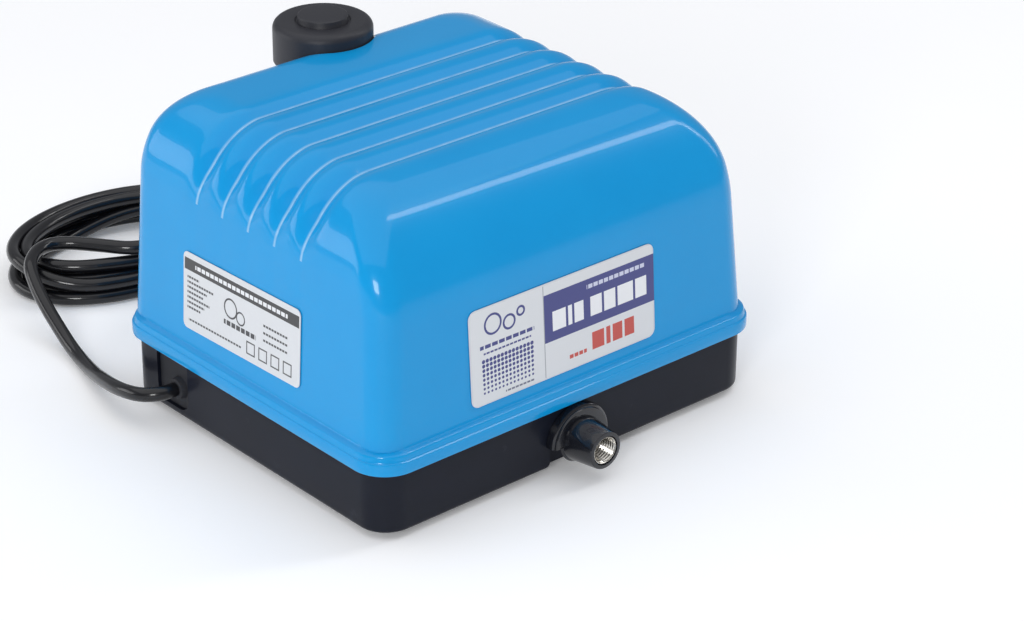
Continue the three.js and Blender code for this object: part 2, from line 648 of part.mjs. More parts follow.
// ---------------------------------------------------------------- one pump side
function swingArm(side) {
  const x = side * ARM_X;
  const bar = box(x - 1.5, x + 1.5, PIVOT_Y + 3, 8, MOTOR_Z - 7, MOTOR_Z + 7);
  const cup = box(x - 8, x + 8, 7, 9.5, MOTOR_Z - 9, MOTOR_Z + 9);
  const eye = upright(5, x, PIVOT_Y, MOTOR_Z - 9, MOTOR_Z + 9, 16);
  return cut(join(bar, cup, eye), upright(2 + GAP, x, PIVOT_Y, MOTOR_Z - 10, MOTOR_Z + 10, 16));
}

function armMagnet(side) {
  const x = side * ARM_X;
  return box(x - 7.5, x + 7.5, 9.5 + GAP, 17.5, MOTOR_Z - 8.5, MOTOR_Z + 8.5);
}

function pivotPin() {
  return turned([[0, CHASSIS_TOP + GAP], [4, CHASSIS_TOP + GAP], [4, MOTOR_Z - 9.4], [2, MOTOR_Z - 9.4],
    [2, MOTOR_Z + 9.4], [3.5, MOTOR_Z + 9.4], [3.5, MOTOR_Z + 12], [0, MOTOR_Z + 12]], 16);
}

function diaphragmPlate(side) {
  return alongX(7.5, DIAPHRAGM_Y, MOTOR_Z, side * (ARM_X + 1.5 + GAP), side * (ARM_X + 7), 20);
}

/** A rubber ring with one rolled fold and a thick rim, turned about the diaphragm's axis. */
function diaphragm(side) {
  const membrane = turned([[9.5, 0.9], [12.5, 1.6], [14.5, 0.4], [17, 1.4], [18.5, 0], [21.5, 0],
    [21.5, 3.2], [18.5, 3.2], [17, 3], [14.5, 2], [12.5, 3.2], [9.5, 2.5], [9.5, 0.9]], 16);
  return membrane.rotateY((side * Math.PI) / 2).translate(side * (VALVE_X - 3.5), DIAPHRAGM_Y, MOTOR_Z);
}

const VALVE_FRONT = DIAPHRAGM_Y - 22;
const VALVE_REAR = DIAPHRAGM_Y + 22;
const VALVE_DEEP = 22;
const VALVE_TOP = MOTOR_Z + 24;
const INTAKE_Y = DIAPHRAGM_Y - 10;
const EXHAUST_Y = DIAPHRAGM_Y + 10;

function spanX(side, near, far) {
  return side > 0 ? [near, far] : [-far, -near];
}

function valveBox(side) {
  const body = box(...spanX(side, VALVE_X, VALVE_X + VALVE_DEEP), VALVE_FRONT, VALVE_REAR,
    CHASSIS_TOP + GAP, VALVE_TOP);
  const bowl = alongX(17.5, DIAPHRAGM_Y, MOTOR_Z, side * (VALVE_X - 1), side * (VALVE_X + 7));
  const rooms = [INTAKE_Y, EXHAUST_Y].map((y) => {
    return box(...spanX(side, VALVE_X + 10, VALVE_X + VALVE_DEEP + 1), y - 8, y + 8, MOTOR_Z - 16, MOTOR_Z + 16);
  });
  const ports = [INTAKE_Y, EXHAUST_Y].map((y) => {
    return alongX(3, y, MOTOR_Z, side * (VALVE_X + 5), side * (VALVE_X + 11), 12);
  });
  return cut(body, bowl, ...rooms, ...ports);
}

function valveCover(side) {
  const near = VALVE_X + VALVE_DEEP + GAP;
  const plate = box(...spanX(side, near, near + 2.7), VALVE_FRONT, VALVE_REAR, CHASSIS_TOP + GAP, VALVE_TOP);
  const barb = alongX(3.6, EXHAUST_Y, MOTOR_Z, side * (near + 2), side * (near + 12), 16);
  const bore = alongX(2.3, EXHAUST_Y, MOTOR_Z, side * (near - 1), side * (near + 13), 12);
  const inlet = alongX(4, INTAKE_Y, MOTOR_Z, side * (near - 1), side * (near + 4), 12);
  return cut(join(plate, barb), bore, inlet);
}

/** A rubber leaf hung from its upper edge over a port. */
function flap(side, y, seatX) {
  return box(...spanX(side, seatX, seatX + 1.2), y - 4.5, y + 4.5, MOTOR_Z - 6, MOTOR_Z + 6);
}

function airHose(side) {
  const start = VALVE_X + VALVE_DEEP + 3 * GAP + 12;
  const route = [[start, EXHAUST_Y, 43], [79, EXHAUST_Y, 43], [87, -15, 43.3], [90, -32, 44.4],
    [83, -53, 46], [67, -65, 47.5], [53, -68, 48], [46, -68, 48], [40.6, -68, 48]];
  return hoseAlong(route.map(([x, y, z]) => new THREE.Vector3(side * x, y, z)), 4.2, 14, 10);
}

// ---------------------------------------------------------------- air chamber and wiring
function airChamber() {
  const low = 34;
  const outside = box(-40, 40, -82, -56, low, 62);
  const inside = box(-37.5, 37.5, -79.5, -58.5, low + 2.5, 59.5);
  const drain = upright(3.2, 0, -68, low - 1, low + 4, 12);
  const inlets = [-1, 1].map((side) => alongX(2.6, -68, 48, side * 36, side * 41, 12));
  const legs = [-1, 1].map((side) => box(side * 33 - 3, side * 33 + 3, -82, -74, TRAY_FLOOR + GAP, low + 1));
  return join(cut(outside, inside, drain, ...inlets), ...legs);
}

function outletHose() {
  const route = [[0, -79.7, OUTLET_Z], [0, -75, OUTLET_Z], [0, -70.5, 18.5], [0, -68, 24], [0, -68, 33.7]];
  return hoseAlong(route.map((place) => new THREE.Vector3(...place)), 4.8, 8, 10);
}

function cordClamp() {
  const block = box(-84, -76, 47, 65, TRAY_FLOOR + GAP, 24);
  return cut(block, alongX(CORD_RADIUS + GAP, CORD_EXIT.y, CORD_EXIT.z, -85, -75, 12));
}

function innerLead() {
  return alongX(CORD_RADIUS - 0.2, CORD_EXIT.y, CORD_EXIT.z, CORD_EXIT.x + 30 + GAP, -71, 10);
}

function terminalBlock() {
  const body = box(-70.7, -63, 44, 70, TRAY_FLOOR + GAP, 22);
  const wells = [49, 57, 65].map((y) => upright(2.2, -66.8, y, 17, 23, 10));
  return cut(body, ...wells);
}

// ---------------------------------------------------------------- assembly
const pump = new THREE.Group();
const casing = new THREE.Group();
const motor = new THREE.Group();
const supply = new THREE.Group();
pump.add(casing, motor, supply);

function place(group, name, geometry, material, x = 0, y = 0, z = 0) {
  const mesh = new THREE.Mesh(closed(geometry), material);
  mesh.name = name;
  mesh.position.set(x, y, z);
  group.add(mesh);
  return mesh;
}

place(casing, "top_cover", topCover(), BLUE);
place(casing, "base_tray", baseTray(), TRAY_BLACK);
place(casing, "cover_seal", coverSeal(), RUBBER);
place(casing, "outlet_nozzle", outletNozzle(), GLOSS_BLACK);
place(casing, "outlet_insert", outletInsert(), NICKEL);
place(casing, "filter_cap", filterCap(), RUBBER, CAP_X, CAP_Y);
place(casing, "filter_sponge", filterSponge(), SPONGE, CAP_X, CAP_Y);
place(casing, "filter_grid", filterGrid(), NYLON, CAP_X, CAP_Y);
place(casing, "front_label", frontLabel(), SILVER_FILM);
place(casing, "rating_label", ratingLabel(), SILVER_FILM);
const CORNERS = ["front_left", "front_right", "rear_left", "rear_right"];
screwPlaces().forEach(([x, y], i) => {
  place(casing, `foot_${CORNERS[i]}`, foot(), RUBBER, x, y);
  place(casing, `case_screw_${CORNERS[i]}`, caseScrew(), STEEL, x, y);
});

place(motor, "chassis_plate", chassisPlate(), CAST_ALLOY);
MOUNT_PLACES.forEach(([x, y], i) => {
  place(motor, `rubber_mount_${CORNERS[i]}`, rubberMount(), RUBBER, x, y);
});
place(motor, "stator_core", statorCore(), STEEL);
place(motor, "coil_bobbin", coilBobbin(), NYLON);
place(motor, "coil_winding", coilWinding(), COPPER);
place(motor, "core_clamp", coreClamp(), STEEL);
for (const [side, hand] of [[-1, "left"], [1, "right"]]) {
  place(motor, `${hand}_swing_arm`, swingArm(side), CAST_ALLOY);
  place(motor, `${hand}_magnet`, armMagnet(side), FERRITE);
  place(motor, `${hand}_pivot_pin`, pivotPin(), STEEL, side * ARM_X, PIVOT_Y);
  place(motor, `${hand}_diaphragm_plate`, diaphragmPlate(side), STEEL);
  place(motor, `${hand}_diaphragm`, diaphragm(side), RUBBER);
  place(motor, `${hand}_valve_box`, valveBox(side), CAST_ALLOY);
  place(motor, `${hand}_valve_cover`, valveCover(side), NYLON);
  place(motor, `${hand}_intake_flap`, flap(side, INTAKE_Y, VALVE_X + 7 - 1.2 - GAP), RUBBER);
  place(motor, `${hand}_exhaust_flap`, flap(side, EXHAUST_Y, VALVE_X + 10 + GAP), RUBBER);
  place(motor, `${hand}_air_hose`, airHose(side), HOSE);
}
place(motor, "air_chamber", airChamber(), CAST_ALLOY);
place(motor, "outlet_hose", outletHose(), HOSE);

place(supply, "cord_grommet", cordGrommet(), RUBBER);
place(supply, "cord_clamp", cordClamp(), NYLON);
place(supply, "inner_lead", innerLead(), CORD_BLACK);
place(supply, "terminal_block", terminalBlock(), NYLON);
place(supply, "power_cord", cordAlong(LEAD_ROUTE), CORD_BLACK);
place(supply, "cord_coil", cordCoil(), CORD_BLACK);
place(supply, "cord_tail", cordAlong(TAIL_ROUTE), CORD_BLACK);
const plug = new THREE.Group();
plug.position.copy(PLUG_PLACE);
plug.rotation.y = Math.PI / 2;
supply.add(plug);
place(plug, "plug_body", plugBody(), CORD_BLACK);
[-1, 1].forEach((side, i) => {
  place(plug, `plug_pin_${i + 1}`, plugPin(), NICKEL, 0, side * 9.5, PLUG_LENGTH + GAP);
});

// The origin is under the middle of the pump itself, outlet and tower included.
const REAR_END = CAP_Y + CAP_RADIUS;
pump.position.y = -(OUTLET_MOUTH_Y + REAR_END) / 2;

export default pump;
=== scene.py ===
# %% [markdown]
# # A pond air pump, dressed in Blender
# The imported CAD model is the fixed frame: it says where every part is and how big it is. This
# lesson loads that frame and gives each part the surface and finish that the real pump has.
# Everything ends up in metres, +Z is up and the air outlet points to -Y.

import bpy
import numpy as np
from mathutils import Matrix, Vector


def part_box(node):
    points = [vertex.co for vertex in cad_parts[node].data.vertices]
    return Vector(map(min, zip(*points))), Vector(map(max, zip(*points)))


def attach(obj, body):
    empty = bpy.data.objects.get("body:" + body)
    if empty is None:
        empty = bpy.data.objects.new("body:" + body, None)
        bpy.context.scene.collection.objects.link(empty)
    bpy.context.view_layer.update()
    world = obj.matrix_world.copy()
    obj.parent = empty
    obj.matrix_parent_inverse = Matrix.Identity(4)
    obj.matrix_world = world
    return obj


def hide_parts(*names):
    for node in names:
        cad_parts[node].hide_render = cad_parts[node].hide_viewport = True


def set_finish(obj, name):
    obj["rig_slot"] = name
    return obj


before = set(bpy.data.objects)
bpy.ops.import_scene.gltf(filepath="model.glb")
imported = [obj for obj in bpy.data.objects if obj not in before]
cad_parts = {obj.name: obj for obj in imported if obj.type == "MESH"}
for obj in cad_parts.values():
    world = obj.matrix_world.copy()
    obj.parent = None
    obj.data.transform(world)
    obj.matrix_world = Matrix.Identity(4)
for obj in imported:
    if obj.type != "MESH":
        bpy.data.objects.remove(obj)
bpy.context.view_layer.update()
MM = 0.001

# %% [markdown]
# ## Driving sizes
# Overall sizes come from the frame's boxes. The few that a box can't give, such as the roof
# roundings, are design values of the same pump, in millimetres. Shapes are worked out with the
# tray's centre as their origin and moved to the frame's origin when they become meshes.

# %% Sizes read from the frame


def box_mm(node):
    """A node's lowest and highest corner, in millimetres."""
    return tuple(np.array(corner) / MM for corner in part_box(node))


cover_low, cover_high = box_mm("top_cover")
tray_low, tray_high = box_mm("base_tray")
cap_low, cap_high = box_mm("filter_cap")
nozzle_low, _ = box_mm("outlet_nozzle")

SHIFT_Y = (tray_low[1] + tray_high[1]) / 2
TRAY_HALF_X, TRAY_HALF_Y = (tray_high - tray_low)[:2] / 2
TRAY_BOTTOM, TRAY_TOP = tray_low[2], tray_high[2]
TRAY_RADIUS = 15.0
LIP_HALF_X, LIP_HALF_Y, LIP_RADIUS = cover_high[0], 98.5, 17.5
LIP_BOTTOM, LIP_TOP, COVER_TOP = cover_low[2], 44.0, cover_high[2]
COVER_INSET, COVER_DRAFT = 4.3, 0.068
REAR_INSET, REAR_DRAFT = 1.8, 0.02
SIDE_ROUND, FRONT_ROUND, REAR_ROUND, PLAN_RADIUS = 35.0, 50.0, 18.0, 13.0
WALL = 3.0
GROOVE_FIRST, GROOVE_STEP = -34.0, 19.2
GROOVE_LINES = GROOVE_FIRST + GROOVE_STEP * np.arange(5)
CAP_X, CAP_Y = (cap_low[:2] + cap_high[:2]) / 2 - (0, SHIFT_Y)
CAP_RADIUS = (cap_high[0] - cap_low[0]) / 2
CAP_TOP, CAP_BOTTOM = cap_high[2], cap_low[2]
TOWER_TOP = CAP_BOTTOM - 0.3
OUTLET_Z, OUTLET_RADIUS, OUTLET_ROOT = 16.5, 9.3, 11.2
RECESS_HALF = 14.5
MOUTH_Y = nozzle_low[1] - SHIFT_Y
POST_X, POST_Y = 96.0, 77.0
CORD_Y, CORD_Z = 56.0, 17.8
FOOT_NAMES = ["front_left", "front_right", "rear_left", "rear_right"]
print("shapes move by", round(SHIFT_Y, 2), "mm in y; cap axis", np.round([CAP_X, CAP_Y], 2))

# %% [markdown]
# ## Camera
# A long lens looks down on the front left corner, so both labels show and the upright edges
# stay nearly parallel. Its place is in millimetres, and three angles in degrees turn it.

# %% Camera
CAMERA_PLACE = np.array([-852.4, -1014.8 + SHIFT_Y, 721.0])
AZIMUTH, ELEVATION, ROLL = -41.5, 27.1, 0.5
LENS_MM, SENSOR_MM = 110.07, 36


def aim(thing, axes, place):
    """Turns a camera or lamp to its right, up and back axes and puts it at a place in metres."""
    pose = np.eye(4)
    pose[:3, :3] = np.array(axes).T
    pose[:3, 3] = place
    thing.matrix_world = Matrix(pose.tolist())


def camera_axes(azimuth, elevation, roll):
    """Right, up and backward directions. Backward comes from the two angles as on a globe, right
    is level and square to it, and both right and up are turned about the line of sight by roll."""
    a, e, r = np.radians([azimuth, elevation, roll])
    back = np.array([np.sin(a) * np.cos(e), -np.cos(a) * np.cos(e), np.sin(e)])
    right = np.cross(-back, [0, 0, 1])
    right /= np.linalg.norm(right)
    up = np.cross(right, -back)
    return np.cos(r) * right + np.sin(r) * up, np.cos(r) * up - np.sin(r) * right, back


camera_data = bpy.data.cameras.new("camera")
camera_data.sensor_width, camera_data.lens = SENSOR_MM, LENS_MM
camera_data.clip_start, camera_data.clip_end = 0.05, 50
camera = bpy.data.objects.new("camera", camera_data)
bpy.context.collection.objects.link(camera)
aim(camera, camera_axes(AZIMUTH, ELEVATION, ROLL), CAMERA_PLACE * MM)
bpy.context.scene.camera = camera
print("camera at", CAMERA_PLACE, "mm")

# %% [markdown]
# ## Floor and light
# The pump stands on a pale floor. A very large lamp overhead gives most of the light. A small
# lamp low at the front left makes the sharp highlight near that corner, a box at the rear left
# lights the side wall, and two narrow strips on the right draw bright lines on the edges.

# %% Floor and lamps
FLOOR_REACH, FLOOR_Z = 12.0, -0.0002
floor_mesh = bpy.data.meshes.new("floor")
signs = (-1, -1), (1, -1), (1, 1), (-1, 1)
floor_mesh.from_pydata([(x * FLOOR_REACH, y * FLOOR_REACH, FLOOR_Z) for x, y in signs], [],
                       [(0, 1, 2, 3)])
floor = bpy.data.objects.new("floor", floor_mesh)
bpy.context.collection.objects.link(floor)


def lamp(name, place, target, size, watts):
    """A rectangular area lamp at a place, turned to face a target. All of it is in metres."""
    data = bpy.data.lights.new(name, "AREA")
    data.shape, data.size, data.size_y, data.energy = "RECTANGLE", size[0], size[1], watts
    light = bpy.data.objects.new(name, data)
    bpy.context.collection.objects.link(light)
    back = np.asarray(place, float) - target
    back /= np.linalg.norm(back)
    right = np.cross([0, 0, 1], back)
    right /= np.linalg.norm(right)
    aim(light, (right, np.cross(back, right), back), place)


middle = np.array([0, 0, 0.08])
lamp("key", (-1.21, -0.89, 0.65), middle, (0.4, 0.45), 8)
lamp("overhead", (-0.3, 0.3, 3.0), middle, (5.0, 5.0), 66)
lamp("left_box", (-1.3, 1.25, 0.5), middle, (1.3, 0.62), 6)
lamp("right_strip", (1.6, -0.5, 0.9), middle, (0.3, 1.0), 3)
lamp("roof_strip", (1.06, -0.42, 1.45), middle, (0.12, 1.3), 3.5)
world = bpy.data.worlds.new("room")
world.use_nodes = True
sky = world.node_tree.nodes["Background"].inputs
sky["Color"].default_value = (0.93, 0.95, 1.0, 1)
sky["Strength"].default_value = 0.34
bpy.context.scene.world = world
bpy.context.scene.view_settings.view_transform = "Standard"

# %% [markdown]
# ## From numbers to meshes
# Every new piece starts as a numpy array of rings: a ring is a closed row of points, and a stack
# of rings is a surface. One function turns such a stack into a closed solid. Two solids are
# joined or cut with a Boolean, which is applied at once so that the piece keeps one plain mesh.

# %% Mesh helpers


def new_object(name, points, faces, crease=32):
    """An object from points in mm and lists of corner numbers, smooth except at sharp edges."""
    mesh = bpy.data.meshes.new(name)
    placed = (np.asarray(points, float) + (0, SHIFT_Y, 0)) * MM
    mesh.from_pydata(placed.tolist(), [], [list(map(int, face)) for face in faces])
    mesh.validate()
    mesh.shade_smooth()
    mesh.set_sharp_from_angle(angle=np.radians(crease))
    piece = bpy.data.objects.new(name, mesh)
    bpy.context.collection.objects.link(piece)
    return piece


def between_rings(rows, count):
    """Four-cornered faces that join each ring to the next, counted as row times ring length."""
    row, col = np.meshgrid(np.arange(rows - 1), np.arange(count), indexing="ij")
    near, far = row * count + col, row * count + (col + 1) % count
    return np.stack([near, far, far + count, near + count], -1).reshape(-1, 4)


def signed_volume(points, faces):
    """Six times the volume under the quads, seen from the origin: positive if they face out."""
    a, b, c, d = (points[faces[:, i]] for i in range(4))
    return (np.cross(a, b) * c).sum() + (np.cross(a, c) * d).sum()


def solid(name, rings, crease=32):
    """A closed solid over rings of one length, run from first to last, each end a flat face."""
    rings = np.asarray(rings, float)
    rows, count, _ = rings.shape
    points = rings.reshape(-1, 3)
    quads = between_rings(rows, count)
    last = (rows - 1) * count
    ends = [list(range(count))[::-1], list(range(last, last + count))]
    centred = points - points.mean(0)
    if signed_volume(centred, quads) < 0:
        quads = quads[:, ::-1]
        ends = [end[::-1] for end in ends]
    return new_object(name, points, quads.tolist() + ends, crease)


def hoop(name, rings, crease=32):
    """A closed solid whose last ring joins its first, as in a washer or a sleeve."""
    rings = np.asarray(rings, float)
    rows, count, _ = rings.shape
    points = rings.reshape(-1, 3)
    quads = between_rings(rows, count)
    seam = np.arange(count)
    turn = (seam + 1) % count
    last = (rows - 1) * count
    quads = np.vstack([quads, np.stack([last + seam, last + turn, turn, seam], -1)])
    if signed_volume(points - points.mean(0), quads) < 0:
        quads = quads[:, ::-1]
    return new_object(name, points, quads.tolist(), crease)


def combine(piece, tool, how, crease=32):
    """Joins (UNION) or cuts (DIFFERENCE) piece with tool, bakes the result and drops the tool."""
    change = piece.modifiers.new("change", "BOOLEAN")
    change.operation, change.solver, change.object = how, "MANIFOLD", tool
    graph = bpy.context.evaluated_depsgraph_get()
    mesh = bpy.data.meshes.new_from_object(piece.evaluated_get(graph))
    piece.modifiers.clear()
    piece.data = mesh
    mesh.shade_smooth()
    mesh.set_sharp_from_angle(angle=np.radians(crease))
    bpy.data.objects.remove(tool)


def soften(piece, width, angle=40):
    """Rounds the edges sharper than the angle with a bevel of that width in mm."""
    bevel = piece.modifiers.new("soft_edges", "BEVEL")
    bevel.width, bevel.segments = width * MM, 3
    bevel.limit_method, bevel.angle_limit = "ANGLE", np.radians(angle)
    bevel.use_clamp_overlap = True
    bevel.harden_normals = True


print("mesh helpers ready: solid, hoop, combine and soften")

# %% Outlines and turned shapes


def circle(radius, centre, sides=64, plane="xy"):
    """A round ring: cosine and sine of evenly spaced angles, laid in the named plane."""
    angle = np.linspace(0, 2 * np.pi, sides, endpoint=False)
    ring = np.zeros((sides, 3))
    ring[:, "xyz".index(plane[0])] = radius * np.cos(angle)
    ring[:, "xyz".index(plane[1])] = radius * np.sin(angle)
    return ring + np.asarray(centre, float)


def rounded_rectangle(half_x, half_y, radius, z, corner_steps=14):
    """Four quarter circles whose centres stand in from the sides by the radius."""
    angle = np.linspace(0, np.pi / 2, corner_steps + 1)
    turns = np.arange(4)[:, None] * np.pi / 2 + angle
    sign_x = np.array([1, -1, -1, 1])[:, None]
    sign_y = np.array([1, 1, -1, -1])[:, None]
    x = sign_x * (half_x - radius) + radius * np.cos(turns)
    y = sign_y * (half_y - radius) + radius * np.sin(turns)
    return np.stack([x, y, np.full_like(x, z)], -1).reshape(-1, 3)


def arc(centre, radius, start, stop, steps):
    """Points along a circle from one angle to another, in degrees, as (x, y) pairs."""
    angle = np.radians(np.linspace(start, stop, steps))
    return np.stack([centre[0] + radius * np.cos(angle), centre[1] + radius * np.sin(angle)], -1)


def turned(name, profile, centre, axis="z", sides=64, closed=False):
    """A profile of (radius, height) points carried round an axis through the centre. A profile
    that starts and ends near the axis gives a solid; a closed one gives a hoop."""
    plane = {"z": "xy", "y": "zx", "x": "yz"}[axis]
    along = np.eye(3)["xyz".index(axis)]
    rings = [circle(max(radius, 0.02), np.asarray(centre) + height * along, sides, plane)
             for radius, height in profile]
    return (hoop if closed else solid)(name, rings)


def drum(name, radius, length, centre, axis="z", sides=64):
    """A plain cylinder that starts at the centre point and runs along the axis."""
    return turned(name, [(0, 0), (radius, 0), (radius, length), (0, length)], centre, axis, sides)


def block(name, x0, x1, y0, y1, z0, z1):
    """A plain box, used only as a cutting tool."""
    ring = np.array([[x1, y1], [x0, y1], [x0, y0], [x1, y0]])
    return solid(name, [np.column_stack([ring, np.full(4, z)]) for z in (z0, z1)])


print("outline helpers ready: circle, rounded_rectangle, arc, turned, drum and block")

# %% [markdown]
# ## The power cord
# The mains lead is one 7 mm cord, 1.85 m long. It leaves the left wall, sinks to the floor,
# climbs over the near side of its own coil behind the pump and goes round almost five times.
# Its route is a smooth curve through a few given points and a spiral between them.

# %% Route of the cord
CORD_RADIUS = 3.5
LEAD = [
    [-115.8, CORD_Y, CORD_Z], [-119.8, 56.1, 17.8], [-124.5, 57.8, 17.5], [-129, 62.5, 16.8],
    [-131.2, 70, 15.6], [-130.8, 82, 13.2], [-127.5, 98, 9.6], [-123, 114, 6],
    [-118.5, 130, 4.2], [-115.5, 144, 5.4], [-113, 158, 9.6], [-111, 171, 15],
    [-108, 184, 20.6], [-103, 196, 25], [-94, 205, 26.4], [-83.5, 208.5, 26.4],
    [-74, 204, 26.2], [-64, 193, 25.9], [-54, 181.5, 25.6], [-44, 176.6, 25.6],
    [-32, 175.2, 25.6], [-20, 178, 25.6],
]
COIL_X, COIL_Y, COIL_LONG, COIL_SHORT = -36.0, 214.0, 57.0, 37.0
COIL_STEP = 3.6
COIL_START, COIL_TURNS, COIL_POINTS = -38.0, 4.83, 24
SLIDE_EVERY, SLIDE_OVER, SLIDE_AHEAD = 300, 60, 68
SLOTS = np.array([(-1, 17.9), (1, 17.9), (1, 10.8), (-1, 10.8), (-1, 3.7), (1, 3.7)])
TAIL = [
    [-27, 172.1, 3.6], [-8, 170.1, 3.6], [4, 170.2, 3.6], [18, 170.6, 3.8], [32, 171.6, 5.8],
    [46, 173.2, 10.4], [58, 174.6, 15.2], [67, 175, 18.4], [74.2, 175, 18.9],
]


def coil_turns():
    """An oval spiral of strands stacked two wide and three high. The angle runs on steadily.
    Every 300 degrees the strand slides to the next place in the stack, taking 60 degrees, so
    strands that slide never cross. SLOTS holds each place's side step and height."""
    angle = COIL_START + np.linspace(0, 360 * COIL_TURNS, int(COIL_POINTS * COIL_TURNS))
    phase = (angle + SLIDE_AHEAD) / SLIDE_EVERY
    whole = np.floor(phase)
    slide = np.clip((phase - whole) * SLIDE_EVERY / SLIDE_OVER, 0, 1)
    slide = (slide * slide * (3 - 2 * slide))[:, None]
    left = SLOTS[np.clip(whole - 1, 0, 5).astype(int)]
    entered = SLOTS[np.clip(whole, 0, 5).astype(int)]
    slot = left * (1 - slide) + entered * slide
    a = np.radians(angle)
    x = COIL_X + (COIL_LONG + COIL_STEP * slot[:, 0]) * np.cos(a)
    y = COIL_Y + (COIL_SHORT + COIL_STEP * slot[:, 0]) * np.sin(a)
    return np.column_stack([x, y, slot[:, 1]])


def smooth_line(knots, step=3.0):
    """A Catmull-Rom curve: between two knots each point is a cubic blend of the four knots
    around it. The whole line is then resampled to an even spacing. Returns it and its length."""
    knots = np.asarray(knots, float)
    ghost = np.vstack([2 * knots[0] - knots[1], knots, 2 * knots[-1] - knots[-2]])
    t = np.linspace(0, 1, 12, endpoint=False)[:, None]
    p0, p1, p2, p3 = (ghost[i:len(ghost) - 3 + i, None] for i in range(4))
    bends = 0.5 * (2 * p1 + (p2 - p0) * t + (2 * p0 - 5 * p1 + 4 * p2 - p3) * t**2
                   + (3 * p1 - p0 - 3 * p2 + p3) * t**3)
    line = np.vstack([bends.reshape(-1, 3), knots[-1]])
    run = np.concatenate([[0], np.cumsum(np.linalg.norm(np.diff(line, axis=0), axis=1))])
    at = np.linspace(0, run[-1], int(run[-1] / step) + 1)
    return np.column_stack([np.interp(at, run, line[:, i]) for i in range(3)]), run[-1]


cord_line, cord_length = smooth_line(np.vstack([LEAD, coil_turns(), TAIL]))
print("cord length", round(cord_length), "mm over", len(cord_line), "steps")

# %% Cord as a tube


def tube(name, line, radius, sides=16):
    """A ring round each point of the line, in the plane square to its direction. The sideways
    direction is the tangent crossed with up, which works because no stretch is vertical."""
    ahead = np.gradient(line, axis=0)
    ahead /= np.linalg.norm(ahead, axis=1, keepdims=True)
    side = np.cross(ahead, [0, 0, 1])
    side /= np.linalg.norm(side, axis=1, keepdims=True)
    over = np.cross(side, ahead)
    angle = np.linspace(0, 2 * np.pi, sides, endpoint=False)[None, :, None]
    spoke = np.cos(angle) * side[:, None] + np.sin(angle) * over[:, None]
    return solid(name, line[:, None] + radius * spoke, crease=60)


power_cord = tube("power_cord_visual", cord_line, CORD_RADIUS)
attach(power_cord, "case")
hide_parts("power_cord", "cord_coil", "cord_tail")
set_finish(power_cord, "cord_sheath")
print("cord tube has", len(power_cord.data.polygons), "faces")

# %% [markdown]
# ## The plug
# The plug is one turned rubber body that grows from the cord's thickness to a round head with a
# flat on each side, and two bare round pins. The head lies on its side, so its axis is level.

# %% Plug and pins
PLUG_AT = np.array([74.9, 175.0, 18.9])
PLUG_RADIUS, PLUG_LENGTH = 18.7, 52.0
PIN_OFFSET = 9.5
neck_ribs = [(4.6 + 3.4 * s + 0.35 * (-1) ** k, 1 + 16 * s)
             for k, s in enumerate(np.linspace(0, 1, 17))]
head = [(8.2, 18), (8.8, 21), (9.7, 24), (12.4, 28.5), (15.3, 32.8), (16.9, 35.2),
        (18.2, 36.8), (18.6, 37.8), (PLUG_RADIUS, 38.8), (PLUG_RADIUS, 44), (18.35, 44.2),
        (18.35, 45), (PLUG_RADIUS, 45.2), (PLUG_RADIUS, 50.4), (18.5, 51.2), (17.9, 51.8),
        (17, PLUG_LENGTH), (0, PLUG_LENGTH)]
plug_body = turned("plug_body_visual", [(0, 0), (4.2, 0)] + neck_ribs + head, PLUG_AT, "x")
for side in (-1, 1):
    flat_y = PLUG_AT[1] + side * PLUG_RADIUS
    notch = block("notch", PLUG_AT[0] + 37, PLUG_AT[0] + 53, flat_y - 2.5, flat_y + 2.5,
                  PLUG_AT[2] - 4, PLUG_AT[2] + 4)
    combine(plug_body, notch, "DIFFERENCE")
pin_profile = [(0, 0), (2.4, 0), (2.4, 17.2), (2.2, 18.2), (1.6, 18.8), (0.8, 19), (0, 19)]
plug_pieces = [plug_body]
for number, side in ((1, -1), (2, 1)):
    pin = turned(f"plug_pin_{number}_visual", pin_profile,
                 PLUG_AT + (PLUG_LENGTH + 0.3, side * PIN_OFFSET, 0), "x", 32)
    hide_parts(f"plug_pin_{number}")
    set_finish(pin, "insert_nickel")
    plug_pieces.append(pin)
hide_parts("plug_body")
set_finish(plug_body, "plug_plastic")
for piece in plug_pieces:
    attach(piece, "case")
placed_line = (cord_line + (0, SHIFT_Y, 0)) * MM
print("plug lies at", PLUG_AT.tolist())

# %% [markdown]
# ## The cover
# The moulded cover is a drafted box with a soft roof and five valleys between pillow-shaped
# ridges. A subdivision model would blur the valleys, so the surface is worked out directly:
# horizontal rings stacked up the wall and over the roundings, with points at fixed y along the
# sides so that each valley follows one line of points. The roof is a ladder of faces from the
# left side to the right.

# %% Cover outline
VALLEY_DEPTH, VALLEY_EXTRA = 3.4, 1.1
VALLEY_BLUNT, VALLEY_FADE = 0.9, 38.0
VALLEY_NEAR = 1.6
SIDE_FRONT, SIDE_REAR = -36.2, 52.01
WALL_LEAN = 3.9
COVER_CREASE = 28


def pull_in(z, radius, top):
    """How far a rounding has drawn the wall in at height z: the sagitta of a quarter circle."""
    above = np.clip(z - (top - radius), 0, radius)
    return radius - np.sqrt(radius**2 - above**2)


